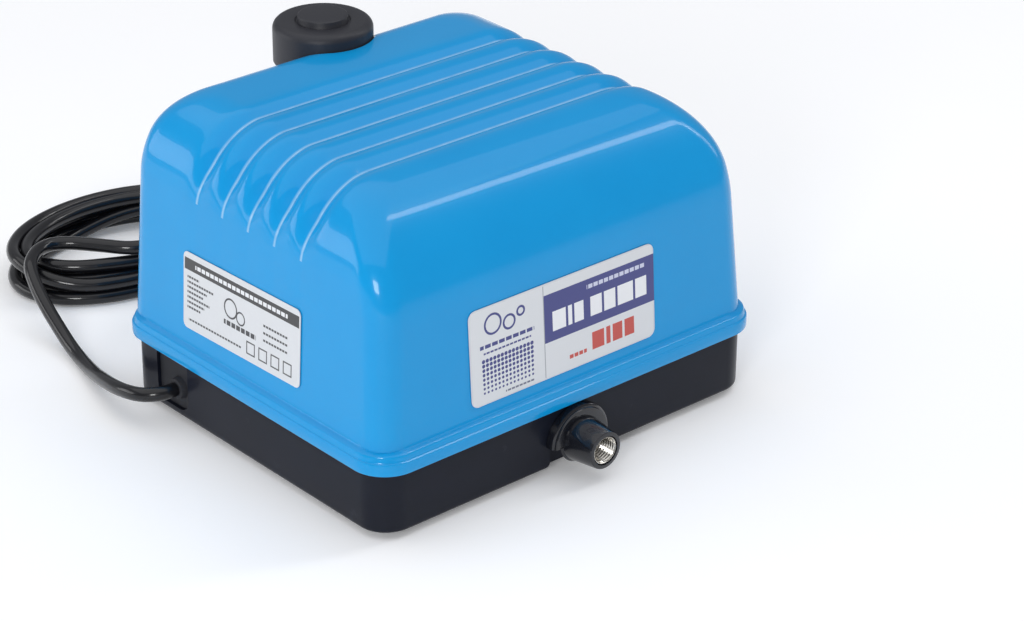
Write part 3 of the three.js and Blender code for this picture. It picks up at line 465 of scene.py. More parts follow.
def groove_depth(y, tilt):
    """Depth of the valleys. Each ridge is a parabola across, and two of them meet in a valley
    whose bottom is blunted. The depth fades to nothing down the wall and is greatest where the
    shoulder leans by 45 degrees."""
    gap = np.hypot(np.abs(y[..., None] - GROOVE_LINES).min(-1), VALLEY_BLUNT) - VALLEY_BLUNT
    across = np.clip(1 - gap / (GROOVE_STEP / 2), 0, 1) ** 2
    rise = np.clip(tilt / VALLEY_FADE, 0, 1)
    fade = rise * rise * (3 - 2 * rise)
    bulge = np.sin(np.radians(2 * np.clip(tilt, 0, 90)))
    return across * fade * (VALLEY_DEPTH + VALLEY_EXTRA * bulge)


def half_ring(z, wall, core_y, front_count, rear_count):
    """The left half of the cover's outline at height z, from the middle of the front to the
    middle of the rear. Along the side the points stand at fixed y. The rest of each half is a
    straight, a quarter circle and a straight, with three times more points on the arc."""
    top = COVER_TOP - wall
    lean = COVER_INSET + wall + COVER_DRAFT * (z - LIP_TOP)
    half_x = LIP_HALF_X - lean - pull_in(z, SIDE_ROUND - wall, top)
    front = -LIP_HALF_Y + lean + pull_in(z, FRONT_ROUND - wall, top)
    rear_lean = REAR_INSET + wall + REAR_DRAFT * (z - LIP_TOP)
    rear = LIP_HALF_Y - rear_lean - pull_in(z, REAR_ROUND - wall, top)
    radius = PLAN_RADIUS - wall

    def side_x(y):
        into = np.clip(np.maximum(front + radius - y, y - (rear - radius)), 0, radius)
        return half_x - radius + np.sqrt(radius**2 - into**2)

    def end_path(y_start, y_end, count):
        sign = np.sign(y_end - y_start)
        centre_y = y_end - sign * radius
        begin = np.degrees(np.arcsin(np.clip((y_start - centre_y) * sign / radius, 0, 1)))
        straight = np.linspace(y_start, centre_y, 30 if sign * (centre_y - y_start) > 0 else 0)
        angle = np.radians(np.linspace(begin, 90, 60))
        x = np.concatenate([np.full(len(straight), half_x),
                            half_x - radius + radius * np.cos(angle),
                            np.linspace(half_x - radius, 0, 40)[1:]])
        y = np.concatenate([straight, centre_y + sign * radius * np.sin(angle), np.full(39, y_end)])
        step = np.hypot(np.diff(x), np.diff(y))
        weight = step * np.where((np.diff(x) != 0) & (np.diff(y) != 0), 3, 1)
        run = np.concatenate([[0], np.cumsum(weight)])
        at = np.linspace(0, run[-1], count + 1)[1:]
        return np.interp(at, run, x), np.interp(at, run, y)

    front_x, front_y = end_path(core_y[0], front, front_count)
    rear_x, rear_y = end_path(core_y[-1], rear, rear_count)
    x = np.concatenate([front_x[::-1], side_x(core_y), rear_x])
    y = np.concatenate([front_y[::-1], core_y, rear_y])
    return x, y


def cover_rings(wall, bottom, core_step, tilt_step, sides=(64, 40)):
    """Rings from the bottom to the roof. Heights on the roundings come from evenly spaced angles
    on the side rounding, with a few more where only the front rounding is turning."""
    top = COVER_TOP - wall
    radius = SIDE_ROUND - wall
    low = np.linspace(bottom, top - FRONT_ROUND + wall, 4)
    middle = np.linspace(low[-1], top - radius, 9)[1:]
    tilt = np.radians(np.arange(tilt_step, 90.01, tilt_step))
    heights = np.concatenate([low, middle, top - radius + radius * np.sin(tilt)])
    across = np.linspace(-VALLEY_NEAR, VALLEY_NEAR, int(2 * VALLEY_NEAR / core_step * 2) + 1)
    close = (GROOVE_LINES[:, None] + across).ravel()
    coarse = np.arange(SIDE_FRONT, SIDE_REAR, core_step * 2)
    coarse = coarse[np.abs(coarse[:, None] - GROOVE_LINES).min(1) > VALLEY_NEAR + 0.1]
    core_y = np.sort(np.concatenate([close, coarse]))
    rings = []
    for z in heights:
        x, y = half_ring(z, wall, core_y, *sides)
        slope = np.degrees(np.arcsin(np.clip((z - (top - radius)) / radius, 0, 1)))
        depth = groove_depth(y, slope + WALL_LEAN)
        level = np.cos(np.radians(slope))
        left = np.column_stack([-x + depth * level, y, z - depth * np.sin(np.radians(slope))])
        right = left[::-1] * (-1, 1, 1)
        rings.append(np.vstack([left, right[1:-1]]))
    return np.array(rings)


def ladder_solid(name, rings):
    """A solid over mirrored rings: each end is closed by faces that join a point on the left to
    its mirror image on the right, so a roof keeps the profile of its sides."""
    rows, count, _ = rings.shape
    half = count // 2
    quads = between_rings(rows, count)
    step = np.arange(1, half - 1)
    rungs = []
    for base, flip in ((0, False), ((rows - 1) * count, True)):
        faces = base + np.stack([step, step + 1, count - step - 1, count - step], -1)
        tips = [[base, base + 1, base + count - 1],
                [base + half - 1, base + half, base + half + 1]]
        for face in faces.tolist() + tips:
            rungs.append(face if flip else face[::-1])
    points = rings.reshape(-1, 3)
    faces = quads.tolist() + rungs
    if signed_volume(points - points.mean(0), quads) < 0:
        faces = [face[::-1] for face in faces]
    return new_object(name, points, faces, COVER_CREASE)


cover = ladder_solid("top_cover_visual", cover_rings(0, LIP_BOTTOM + 1.5, 0.42, 3.0))
print("outer skin", len(cover.data.polygons), "faces")

# %% [markdown]
# ## Lip, intake tower and hollow
# The lip is a two-step band that hangs over the tray. The tower on the rear wall carries the
# filter cap in a round pocket. The hollow is the same surface one wall thickness further in.

# %% Lip, tower and hollow of the cover
LIP_PROFILE = [(6.5, 34.5), (0.5, 34.5), (0.15, 34.65), (0, 35), (0, 39.8), (0.2, 40.4),
               (0.75, 40.75), (0.95, 41.2), (1.0, 42.6), (1.35, 43.5), (2.1, 44.1),
               (3.2, 44.35), (3.9, 44.75), (4.25, 45.5), (4.6, 46.6), (7, 47)]
TOWER_RADIUS, TOWER_ROOT, TOWER_LEAN = 22.5, 10, 19
NECK_RADIUS, NECK_BORE = 15, 12.5
POCKET_GAP = 0.9


def lip_ring(inset, z):
    """The lip's outline drawn in by the inset, its corners a little less."""
    radius = LIP_RADIUS - min(inset, 3) * 0.3
    return rounded_rectangle(LIP_HALF_X - inset, LIP_HALF_Y - inset, radius, z)


def tower(name, wall, top):
    """A round column that leans out of the rear wall and then stands upright under the cap."""
    t = np.linspace(0, 1, 12)
    ease = t * t * (3 - 2 * t)
    radius = TOWER_ROOT + (TOWER_RADIUS - TOWER_ROOT) * ease - wall
    centre_y = CAP_Y - TOWER_LEAN + TOWER_LEAN * ease
    height = TOWER_TOP - 50 + wall + (34 - wall) * t
    rings = [circle(r, (CAP_X, y, z), 72) for r, y, z in zip(radius, centre_y, height)]
    rings += [circle(TOWER_RADIUS - wall, (CAP_X, CAP_Y, z), 72) for z in (TOWER_TOP - 8, top)]
    return solid(name, rings)


lip = solid("lip", [lip_ring(inset, z) for inset, z in LIP_PROFILE])
pocket = drum("pocket", CAP_RADIUS + POCKET_GAP, 30, (CAP_X, CAP_Y, TOWER_TOP), sides=96)
hollow = ladder_solid("hollow", cover_rings(WALL, LIP_BOTTOM - 1, 1.6, 7.5, (24, 18)))
pocket_wall = drum("pocket_wall", CAP_RADIUS + WALL + POCKET_GAP, 30,
                   (CAP_X, CAP_Y, TOWER_TOP - WALL), sides=72)
neck = turned("neck", [(0, 0), (NECK_RADIUS, 0), (NECK_RADIUS, 11.6), (14.4, 12.2), (0, 12.2)],
              (CAP_X, CAP_Y, TOWER_TOP - 0.5))
neck_bore = drum("neck_bore", NECK_BORE, 24, (CAP_X, CAP_Y, TOWER_TOP - 9))
for piece, tool, how in (
        (cover, lip, "UNION"),
        (cover, tower("tower", 0, TOWER_TOP), "UNION"),
        (cover, pocket, "DIFFERENCE"),
        (hollow, tower("tower_bore", WALL, TOWER_TOP - WALL), "UNION"),
        (hollow, pocket_wall, "DIFFERENCE"),
        (cover, hollow, "DIFFERENCE"),
        (cover, neck, "UNION"),
        (cover, neck_bore, "DIFFERENCE")):
    combine(piece, tool, how, COVER_CREASE)
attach(cover, "case")
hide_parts("top_cover")
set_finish(cover, "cover_paint")
print("cover", len(cover.data.polygons), "faces")

# %% [markdown]
# ## The base tray
# The tray is a plain moulded pan with rounded corners. Its front wall steps back in an arch
# around the air outlet, and its left wall has a round-bottomed slot for the cord grommet. The
# pan is one stack of rings, and the arch and the slot are cut out of it.

# %% Tray


def tray_ring(inset, z):
    """The tray's outline at height z, drawn in by the inset."""
    radius = max(TRAY_RADIUS - inset, 1)
    return rounded_rectangle(TRAY_HALF_X - inset, TRAY_HALF_Y - inset, radius, z)


def prism(name, outline, start, stop, along="y"):
    """An outline of (across, height) points pushed along an axis from start to stop."""
    flat = np.asarray(outline, float)
    rings = []
    for place in (start, stop):
        rings.append(np.insert(flat, "xyz".index(along), place, axis=1))
    return solid(name, rings)


outside = [(2.4, 0), (1.3, 0.15), (0.55, 0.6), (0.12, 1.4), (0, 2.4), (0, 12), (0, 29.6),
           (0.12, 30.4), (0.5, 30.9), (1.0, 30.9)]
tray = solid("base_tray_visual", [tray_ring(inset, TRAY_BOTTOM + z) for inset, z in outside])
pan = solid("pan", [tray_ring(WALL, TRAY_BOTTOM + WALL), tray_ring(WALL, TRAY_TOP + 2)])
combine(tray, pan, "DIFFERENCE")
thick = block("thick", -RECESS_HALF - 5, RECESS_HALF + 5, -TRAY_HALF_Y + 1, -88,
              TRAY_BOTTOM + 1, TRAY_TOP - 0.02)
combine(tray, thick, "UNION")
for x in (-POST_X, POST_X):
    for y in (-POST_Y, POST_Y):
        combine(tray, drum("post", 5.5, 29.4, (x, y, TRAY_BOTTOM + 1), sides=32), "UNION")
        combine(tray, drum("bore", 2.2, 40, (x, y, 0), sides=24), "DIFFERENCE")
FLARE, ARCH_Z = 4, 12
flare = arc((RECESS_HALF + FLARE, TRAY_BOTTOM + FLARE), FLARE, 270, 180, 10)
right_side = np.vstack([[[RECESS_HALF + FLARE, TRAY_BOTTOM - 1]], flare,
                        arc((0, ARCH_Z), RECESS_HALF, 0, 90, 24)])
arch = np.vstack([right_side, right_side[::-1][1:] * (-1, 1)])
combine(tray, prism("recess", arch, -TRAY_HALF_Y - 1, -91), "DIFFERENCE")
combine(tray, drum("hole", 9.6, 10, (0, -93, OUTLET_Z), "y"), "DIFFERENCE")


def slot_outline(gap, top):
    """The grommet's slot seen from the left: straight sides and two rounded lower corners."""
    low, near, far, radius = 7 + gap, 48 + gap, 72 - gap, 7
    return np.vstack([[[far, top]], arc((far - radius, low + radius), radius, 0, -90, 10),
                      arc((near + radius, low + radius), radius, -90, -180, 10), [[near, top]]])


slot_cut = prism("slot", slot_outline(0, TRAY_TOP + 1), -TRAY_HALF_X - 1, -TRAY_HALF_X + 4, "x")
combine(tray, slot_cut, "DIFFERENCE")
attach(tray, "case")
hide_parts("base_tray")
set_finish(tray, "tray_plastic")
print("tray", len(tray.data.polygons), "faces")

# %% [markdown]
# ## Cord grommet
# A grey moulded plug fills the slot a little behind the wall's face. The cord passes through a
# round collar in it, and a tapered sleeve guards the cord inside the housing.

# %% Grommet
grommet = prism("cord_grommet_visual", slot_outline(0.3, TRAY_TOP), -112.4, -107.5, "x")
combine(grommet, block("flange", -110.7, -108, 45.5, 74.5, 6.8, TRAY_TOP - 0.01), "UNION")
collar_profile = [(0, 0), (4.4, 0), (4.9, 0.3), (5.1, 0.9), (5.6, 3.2), (6.6, 3.6), (6.6, 8),
                  (4.6, 30), (0, 30)]
combine(grommet, turned("collar", collar_profile, (-115.5, CORD_Y, CORD_Z), "x", 48), "UNION")
soften(grommet, 0.4)
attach(grommet, "case")
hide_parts("cord_grommet")
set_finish(grommet, "grommet_rubber")
print("grommet", len(grommet.data.polygons), "faces")

# %% [markdown]
# ## Air outlet
# The outlet is a short glossy tube under a half-round hood. Both are one moulding. A nickel
# sleeve with a quarter-inch pipe thread is pressed into its mouth. The thread is a grid in
# angle and depth whose radius follows a triangle wave of depth less one turn per pitch.

# %% Outlet and its threaded sleeve


def hood_ring(radius, y):
    """A half circle above the tube's axis closed by a level base, at one place along y."""
    sweep = np.radians(np.linspace(0, 180, 49))
    base = np.linspace(-1, 1, 17)[1:-1]
    x = np.concatenate([radius * np.cos(sweep), radius * base])
    z = np.concatenate([radius * np.sin(sweep), np.zeros(15)]) + OUTLET_Z - 1
    return np.column_stack([x, np.full_like(x, y), z])


hood = [(15.2, -101), (15.8, -100.8), (16.1, -100.3), (16.1, -99.7), (16.9, -99.5),
        (17.3, -99.1), (17.4, -98.5), (17.4, -95.3)]
nozzle = solid("outlet_nozzle_visual", [hood_ring(radius, y) for radius, y in hood])
barrel = [(0, 0), (8.6, 0), (9.1, 0.2), (OUTLET_RADIUS, 0.7), (OUTLET_ROOT, 16.2),
          (12.2, 17.3), (OUTLET_RADIUS, 18.5), (OUTLET_RADIUS, 29.5), (0, 29.5)]
tail = [(0, 0), (5.2, 0), (5.2, 7.4), (4.8, 7.9), (0, 7.9)]
combine(nozzle, turned("barrel", barrel, (0, MOUTH_Y, OUTLET_Z), "y", 96), "UNION")
combine(nozzle, turned("tail", tail, (0, -87.9, OUTLET_Z), "y"), "UNION")
combine(nozzle, drum("seat", 7.2, 17, (0, MOUTH_Y - 1, OUTLET_Z), "y", 96), "DIFFERENCE")
combine(nozzle, drum("duct", 3.2, 40, (0, MOUTH_Y, OUTLET_Z), "y"), "DIFFERENCE")

SLEEVE_Y, SLEEVE_LENGTH, PITCH = MOUTH_Y + 0.4, 15.1, 1.5
THREAD_ROOT, THREAD_HEIGHT = 5.85, 0.6
depth = np.arange(0.5, SLEEVE_LENGTH - 0.4, PITCH / 6)
angle = np.linspace(0, 2 * np.pi, 72, endpoint=False)
wave = np.abs(((depth[:, None] / PITCH - angle / (2 * np.pi)) % 1) * 2 - 1)
inner = THREAD_ROOT + THREAD_HEIGHT * wave
inner_y = np.broadcast_to(SLEEVE_Y + depth[:, None], inner.shape)
inner_rings = np.stack([inner * np.sin(angle), inner_y, OUTLET_Z + inner * np.cos(angle)], -1)
outer_profile = [(6.3, SLEEVE_LENGTH), (6.9, SLEEVE_LENGTH - 0.4), (6.9, 0.5), (6.75, 0.12),
                 (6.6, 0), (6.45, 0.05)]
outer_rings = [circle(r, (0, SLEEVE_Y + y, OUTLET_Z), 72, "zx") for r, y in outer_profile]
insert = hoop("outlet_insert_visual", np.concatenate([inner_rings, outer_rings]), crease=50)
for piece, node, slot in ((nozzle, "outlet_nozzle", "nozzle_plastic"),
                          (insert, "outlet_insert", "insert_nickel")):
    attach(piece, "case")
    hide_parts(node)
    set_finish(piece, slot)
print("outlet", len(nozzle.data.polygons), "faces; sleeve", len(insert.data.polygons))

# %% [markdown]
# ## Filter cap
# A soft black cap covers the air intake and lifts off for cleaning. It is turned from one
# profile: a skirt, a rounded shoulder, a shallow ring and a raised button. Four small notches in
# the skirt's edge let the air in.

# %% Cap
roof = CAP_TOP - 3
shoulder = arc((CAP_RADIUS - 4, roof - 4), 4, 0, 90, 10).tolist()
cap_profile = [(0, roof - 3.5), (20.5, roof - 3.5), (20.5, CAP_BOTTOM + 0.3), (20.8, CAP_BOTTOM),
               (CAP_RADIUS - 0.4, CAP_BOTTOM), (CAP_RADIUS, CAP_BOTTOM + 0.5)] + shoulder
cap_profile += [(14.1, roof), (13.6, roof - 0.15), (13.3, roof - 0.6), (13, roof - 0.8),
                (12.6, roof - 0.75), (12.4, roof - 0.4), (12.3, CAP_TOP - 1.0),
                (12.1, CAP_TOP - 0.45), (11.6, CAP_TOP - 0.1), (10.9, CAP_TOP), (0, CAP_TOP)]
cap = turned("filter_cap_visual", cap_profile, (CAP_X, CAP_Y, 0), sides=128)
for half_x, half_y in ((30, 3), (3, 30)):
    notch = block("notch", CAP_X - half_x, CAP_X + half_x, CAP_Y - half_y, CAP_Y + half_y,
                  CAP_BOTTOM - 1, CAP_BOTTOM + 3)
    combine(cap, notch, "DIFFERENCE")
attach(cap, "filter_cap")
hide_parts("filter_cap")
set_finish(cap, "cap_rubber")
print("cap", len(cap.data.polygons), "faces")

# %% [markdown]
# ## Feet
# Four rubber rings are pressed over the case screws, and the screw heads sit inside them.

# %% Feet
foot_profile = [(4.5, 0.4), (4.9, 0), (8.1, 0), (8.6, 0.15), (8.9, 0.5), (9, 1), (9, 2.4),
                (8.85, 2.8), (8.5, 3), (4.5, 3)]
for foot_name in FOOT_NAMES:
    x = POST_X if "right" in foot_name else -POST_X
    y = POST_Y if "rear" in foot_name else -POST_Y
    foot = turned(f"foot_{foot_name}_visual", foot_profile, (x, y, 0), sides=64, closed=True)
    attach(foot, "case")
    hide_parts(f"foot_{foot_name}")
    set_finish(foot, "cap_rubber")
print("feet made")

# %% [markdown]
# ## Shader maths
# A material is a graph of nodes. To keep the formulas readable, one small class wraps a socket
# and turns + - * / and comparisons into Math nodes, and a second class makes any other node
# from its type, its settings and what goes into its sockets.

# %% Two helper classes


class Wire:
    """A node's output that can be used in sums. Each operator adds one Math node."""

    def __init__(self, finish, socket):
        self.finish, self.socket = finish, socket

    def sum(self, how, *terms):
        return self.finish.node("ShaderNodeMath", {"operation": how}, dict(enumerate(terms)))

    def __add__(self, other):
        return self.sum("ADD", self, other)

    def __sub__(self, other):
        return self.sum("SUBTRACT", self, other)

    def __rsub__(self, other):
        return self.sum("SUBTRACT", other, self)

    def __mul__(self, other):
        return self.sum("MULTIPLY", self, other)

    def __truediv__(self, other):
        return self.sum("DIVIDE", self, other)

    def __gt__(self, other):
        return self.sum("GREATER_THAN", self, other)

    def __lt__(self, other):
        return self.sum("LESS_THAN", self, other)

    __radd__, __rmul__ = __add__, __mul__

    def abs(self):
        return self.sum("ABSOLUTE", self)

    def wave(self):
        return self.sum("SINE", self)

    def wrap(self):
        return self.sum("FRACT", self)

    def limit(self):
        """Keeps the value between 0 and 1."""
        return self.sum("MAXIMUM", self.sum("MINIMUM", self, 1), 0)


class Finish:
    """A material being built, with shortcuts for its nodes. Colours are given as screen (sRGB)
    values from 0 to 255 and turned into linear light."""

    def __init__(self, name):
        self.material = bpy.data.materials.new(name)
        self.material.use_nodes = True
        self.tree = self.material.node_tree
        self.shader = self.tree.nodes["Principled BSDF"]

    def link(self, value, socket):
        if isinstance(value, Wire):
            self.tree.links.new(value.socket, socket)
        else:
            socket.default_value = value

    def node(self, kind, settings=None, inputs=None, output=0):
        made = self.tree.nodes.new(kind)
        for key, value in (settings or {}).items():
            setattr(made, key, value)
        for key, value in (inputs or {}).items():
            self.link(value, made.inputs[key])
        return Wire(self, made.outputs[output])

    def place(self):
        return self.node("ShaderNodeTexCoord", output="Object")

    def xyz(self):
        """The three parts of a place in millimetres."""
        split = self.tree.nodes.new("ShaderNodeSeparateXYZ")
        self.link(self.place(), split.inputs[0])
        return [Wire(self, socket) * (1 / MM) for socket in split.outputs]

    def noise(self, per_metre, detail=4.0, rough=0.55):
        """Cloudy variation around one half, with that many clouds to the metre."""
        return self.node("ShaderNodeTexNoise", {}, {
            "Vector": self.place(), "Scale": per_metre, "Detail": detail, "Roughness": rough})

    def blend(self, factor, first, second):
        """From the first colour to the second: the Mix node's sockets 6 and 7, output 2."""
        return self.node("ShaderNodeMix", {"data_type": "RGBA"},
                         {"Factor": factor, 6: first, 7: second}, 2)

    def scaled(self, value, low, high):
        """Takes a value from 0..1 to low..high."""
        return value * (high - low) + low

    def bump(self, height, millimetres, strength=1.0, under=None):
        inputs = {"Height": height, "Distance": millimetres * MM, "Strength": strength}
        if under is not None:
            inputs["Normal"] = under
        return self.node("ShaderNodeBump", {}, inputs)

    def surface(self, **values):
        """Sets the shader's sockets: base_color=... stands for the socket Base Color."""
        for key, value in values.items():
            label = key.replace("_", " ").title().replace("Ior", "IOR")
            self.link(value, self.shader.inputs[label])
        return self.material


def screen(red, green, blue):
    """The linear colour of a screen colour, by the usual curve of an offset and a 2.4 power."""
    value = np.array([red, green, blue]) / 255
    linear = np.where(value <= 0.04045, value / 12.92, ((value + 0.055) / 1.055) ** 2.4)
    return (*linear.tolist(), 1.0)


finishes = {}
print("shader helpers ready")

# %% [markdown]
# ## Glossy blue cover
# The cover is injection-moulded ABS with a polished surface: strong colour, sharp reflections and a
# barely visible waviness. Along each valley a pale painted highlight stands in for the lamps'
# reflection in the valley bottom. Its mask is the distance to the nearest valley line, kept to the
# roof and broken up by noise, and the same mask makes the surface rougher and its coat thinner
# there.

# %% Blue plastic
blue = Finish("cover_blue_gloss")
PAINTED_HIGHLIGHT_REACH, PAINTED_HIGHLIGHT_LOW, PAINTED_HIGHLIGHT_FRONT, PAINTED_HIGHLIGHT_REAR = 1.1, 116, -36, 46
_, y, z = blue.xyz()
cloud = blue.noise(26, 5)
fine = blue.noise(900, 3)
first_ridge = SHIFT_Y + GROOVE_FIRST - GROOVE_STEP / 2
to_valley = (((y - first_ridge) / GROOVE_STEP).wrap() * GROOVE_STEP - GROOVE_STEP / 2).abs()
on_roof = (z > PAINTED_HIGHLIGHT_LOW) * (y > SHIFT_Y + PAINTED_HIGHLIGHT_FRONT) * (y < SHIFT_Y + PAINTED_HIGHLIGHT_REAR)
painted_highlight_band = (1 - to_valley / PAINTED_HIGHLIGHT_REACH).limit() * on_roof
painted_highlight = painted_highlight_band * blue.scaled(blue.noise(160, 6), 0.3, 1.0)
shade = blue.blend(cloud, screen(4, 146, 212), screen(10, 154, 219))
# Painted highlight: a pale colour along each valley stands in for the reflection of the lamps in
# the valley bottoms.
shade = blue.blend(painted_highlight, shade, screen(178, 214, 236))
finishes["cover_paint"] = blue.surface(
    base_color=shade,
    roughness=blue.scaled(fine, 0.2, 0.27) + painted_highlight * 0.2,
    coat_weight=0.4 - painted_highlight * 0.3,
    coat_roughness=0.03,
    specular_ior_level=0.15,
    normal=blue.bump(blue.noise(60, 2), 0.05, 0.35, blue.bump(fine, 0.008, 0.35)),
)
print("valley dust fades out", PAINTED_HIGHLIGHT_REACH, "mm from each valley line")

# %% [markdown]
# ## Black plastics and rubbers
# The blacks differ in gloss and grain: the satin tray with a fine spark-eroded grain, the matte
# cap, the glossy outlet and the smooth cord. One function makes them, and the plain mouldings
# inside, from their colours, roughness range and grain. All carry a few pale scuffs.

# %% Moulded blacks and other plain mouldings


def moulded(name, dark, light, rough, grain_per_metre, grain_mm, coat=0.0, metal=0.0,
            shine=0.22):
    """Two close colours mixed by clouds, roughness following a finer noise, a grain bump, and
    small paler scuffs where a coarse noise peaks."""
    made = Finish(name)
    cloud = made.noise(40, 5)
    fine = made.noise(grain_per_metre, 2)
    scuff = ((made.noise(75, 8, 0.7) - 0.64) * 7).limit()
    colour = made.blend(cloud, screen(*dark), screen(*light))
    paler = [min(255, part + 26) for part in light]
    colour = made.blend(scuff * 0.5, colour, screen(*paler))
    return made.surface(
        base_color=colour,
        roughness=made.scaled(cloud, rough[0], rough[1]) + scuff * 0.12,
        metallic=metal,
        coat_weight=coat,
        coat_roughness=0.06,
        specular_ior_level=shine,
        normal=made.bump(fine, grain_mm, 0.6),
    )


for slot, *values in (
    ("tray_plastic", "tray_satin_black", (18, 21, 31), (26, 30, 42), (0.26, 0.38), 1500, 0.02,
     0.1, 0, 0.12),
    ("cap_rubber", "cap_rubber_matte", (34, 35, 41), (46, 47, 54), (0.4, 0.52), 2200, 0.06,
     0, 0, 0.4),
    ("nozzle_plastic", "outlet_gloss_black", (15, 17, 23), (24, 26, 33), (0.16, 0.26), 700, 0.01,
     0.7),
    ("grommet_rubber", "grommet_grey", (38, 39, 44), (50, 51, 56), (0.5, 0.62), 1800, 0.03),
    ("cord_sheath", "cord_gloss_black", (14, 14, 17), (24, 24, 28), (0.24, 0.34), 500, 0.03, 0.5),
    ("plug_plastic", "plug_black", (18, 18, 20), (30, 30, 33), (0.38, 0.5), 1500, 0.03),
    ("seal_rubber", "seal_rubber_black", (28, 28, 30), (40, 40, 42), (0.6, 0.7), 1200, 0.03),
    ("diaphragm_rubber", "diaphragm_rubber", (24, 24, 25), (38, 38, 38), (0.5, 0.64), 1600, 0.03),
    ("hose_rubber", "hose_rubber", (30, 31, 33), (46, 47, 50), (0.48, 0.6), 1100, 0.04),
    ("nylon", "nylon_cream", (206, 202, 190), (222, 219, 208), (0.4, 0.52), 1300, 0.02),
    ("ferrite", "ferrite_grey", (48, 48, 51), (66, 66, 69), (0.42, 0.6), 1900, 0.04, 0, 0.3),
    ("sponge", "sponge_grey", (34, 34, 34), (60, 60, 60), (0.9, 0.98), 600, 1.2),
):
    finishes[slot] = moulded(*values)
print(len(finishes), "finishes so far")

# %% [markdown]
# ## Metals
# The threaded sleeve is nickel-plated, the screws are zinc-plated steel, the chassis is cast
# alloy, the core is a stack of steel sheets and the winding is enamelled copper. The stacks show
# as fine parallel lines: a sine along one axis whose period is the sheet or wire thickness.

# %% Metals


def metal(name, dark, light, rough, cloud_per_metre=120, line_axis=None, line_mm=0.5,
          grain_mm=0.01):
    """A metal with cloudy tarnish and, if an axis is named, parallel lines across that axis."""
    made = Finish(name)
    cloud = made.noise(cloud_per_metre, 6)
    fine = made.noise(1600, 3)
    height = fine
    if line_axis is not None:
        height = made.xyz()[line_axis] * (2 * np.pi / line_mm)
        height = height.wave() * 0.5 + fine * 0.2 + 0.5
    return made.surface(
        base_color=made.blend(cloud, screen(*dark), screen(*light)),
        roughness=made.scaled(fine, rough[0], rough[1]),
        metallic=1.0,
        normal=made.bump(height, grain_mm if line_axis is None else 0.12, 0.7),
    )


for slot, *values in (
    ("insert_nickel", "nickel_plate", (196, 192, 184), (226, 223, 217), (0.16, 0.28), 200),
    ("screw_steel", "zinc_steel", (150, 153, 158), (190, 192, 196), (0.28, 0.42)),
    ("cast_alloy", "cast_alloy", (138, 141, 144), (172, 175, 178), (0.45, 0.62), 120, None, 0.5,
     0.08),
    ("core_steel", "core_sheets", (96, 99, 104), (142, 146, 150), (0.34, 0.5), 90, 2, 0.5),
    ("copper", "copper_winding", (158, 82, 40), (196, 112, 62), (0.26, 0.4), 140, 0, 0.45),
):
    finishes[slot] = metal(*values)
print(len(finishes), "finishes so far")

# %% [markdown]
# ## Printed films
# Both labels are printed films. The print is left generic: bars and boxes stand where words
# would be. A print is a sum of rectangles worked out in the film's own width and height, which
# come from its place on the wall. Each mask is 1 inside its shape and 0 outside it.

# %% Print helpers


class Print(Finish):
    """A film whose print is laid out in millimetres from its lower left corner."""

    def __init__(self, name, across, up, paper):
        super().__init__(name)
        self.across, self.up = across(self), up(self)
        self.speck = self.noise(900, 3)
        brighter = [min(255, part + 8) for part in paper]
        self.ink = self.blend(self.speck, screen(*paper), screen(*brighter))

    def box(self, left, low, width, height):
        """Inside a rectangle: one test across and one up, multiplied."""
        wide = (self.across - (left + width / 2)).abs() < width / 2
        tall = (self.up - (low + height / 2)).abs() < height / 2
        return wide * tall

    def dashes(self, left, low, width, height, pitch, gap=0.2):
        """A rectangle cut into dashes: each pitch begins with a gap, a share of the pitch."""
        return self.box(left, low, width, height) * ((self.across / pitch).wrap() > gap)

    def disc(self, x, y, radius, ring=0.0):
        """Inside a circle, or on a ring of a given width when ring is not zero."""
        dx, dy = self.across - x, self.up - y
        square = dx * dx + dy * dy
        inside = square < radius**2
        return inside * (square > (radius - ring) ** 2) if ring else inside

    def add(self, mask, colour):
        self.ink = self.blend(mask, self.ink, screen(*colour))


def film_finish(made):
    """A clear varnish over ink, a little wavy where the film follows the wall."""
    return made.surface(
        base_color=made.ink,
        roughness=made.scaled(made.speck, 0.26, 0.36),
        coat_weight=0.6,
        coat_roughness=0.08,
        normal=made.bump(made.noise(45, 2), 0.06, 0.4),
    )


print("print helpers ready: box, dashes and disc")

# %% Front film
front_low, front_high = box_mm("front_label")
NAVY, RED, WHITE = (36, 44, 122), (190, 58, 44), (232, 234, 238)
front = Print("front_film_print", lambda f: f.xyz()[0] - front_low[0],
              lambda f: f.xyz()[2] - front_low[2], (203, 206, 211))
front.add(front.box(0.9, 0.9, 109.7, 44.9), (214, 217, 221))
front.add(front.box(43.6, 0.9, 0.5, 44.9), (150, 154, 162))
front.add(front.box(44.1, 17.6, 67.4, 23.4), NAVY)
for left, width in ((49, 8), (58.4, 2.4), (62.2, 5.6), (72, 7), (80.4, 7), (88.8, 9.6), (99.8, 7)):
    front.add(front.box(left, 22.2, width, 9.6), WHITE)
front.add(front.dashes(70, 36.2, 36, 2.0, 3.2), (200, 204, 226))
front.add(front.dashes(58, 5.4, 11, 1.9, 2.9), RED)
for left, width in ((72.5, 7.4), (81.2, 2.6), (85.2, 6), (92.6, 6)):
    front.add(front.box(left, 5.4, width, 8.6), RED)
for x, y, radius in ((14, 37.5, 5.2), (23.5, 35.5, 3.8), (30.4, 38.6, 2.6)):
    front.add(front.disc(x, y, radius, 1.1), NAVY)
front.add(front.dashes(6, 26.8, 32, 1.8, 4.1, 0.18), NAVY)
front.add(front.dashes(8, 24, 28, 0.9, 2.3), NAVY)
DOT_PITCH = 2.2
dot_x = (front.across / DOT_PITCH).wrap() - 0.5
dot_y = (front.up / DOT_PITCH).wrap() - 0.5
dot_size = front.scaled(front.up / 22.0, 0.03, 0.2)
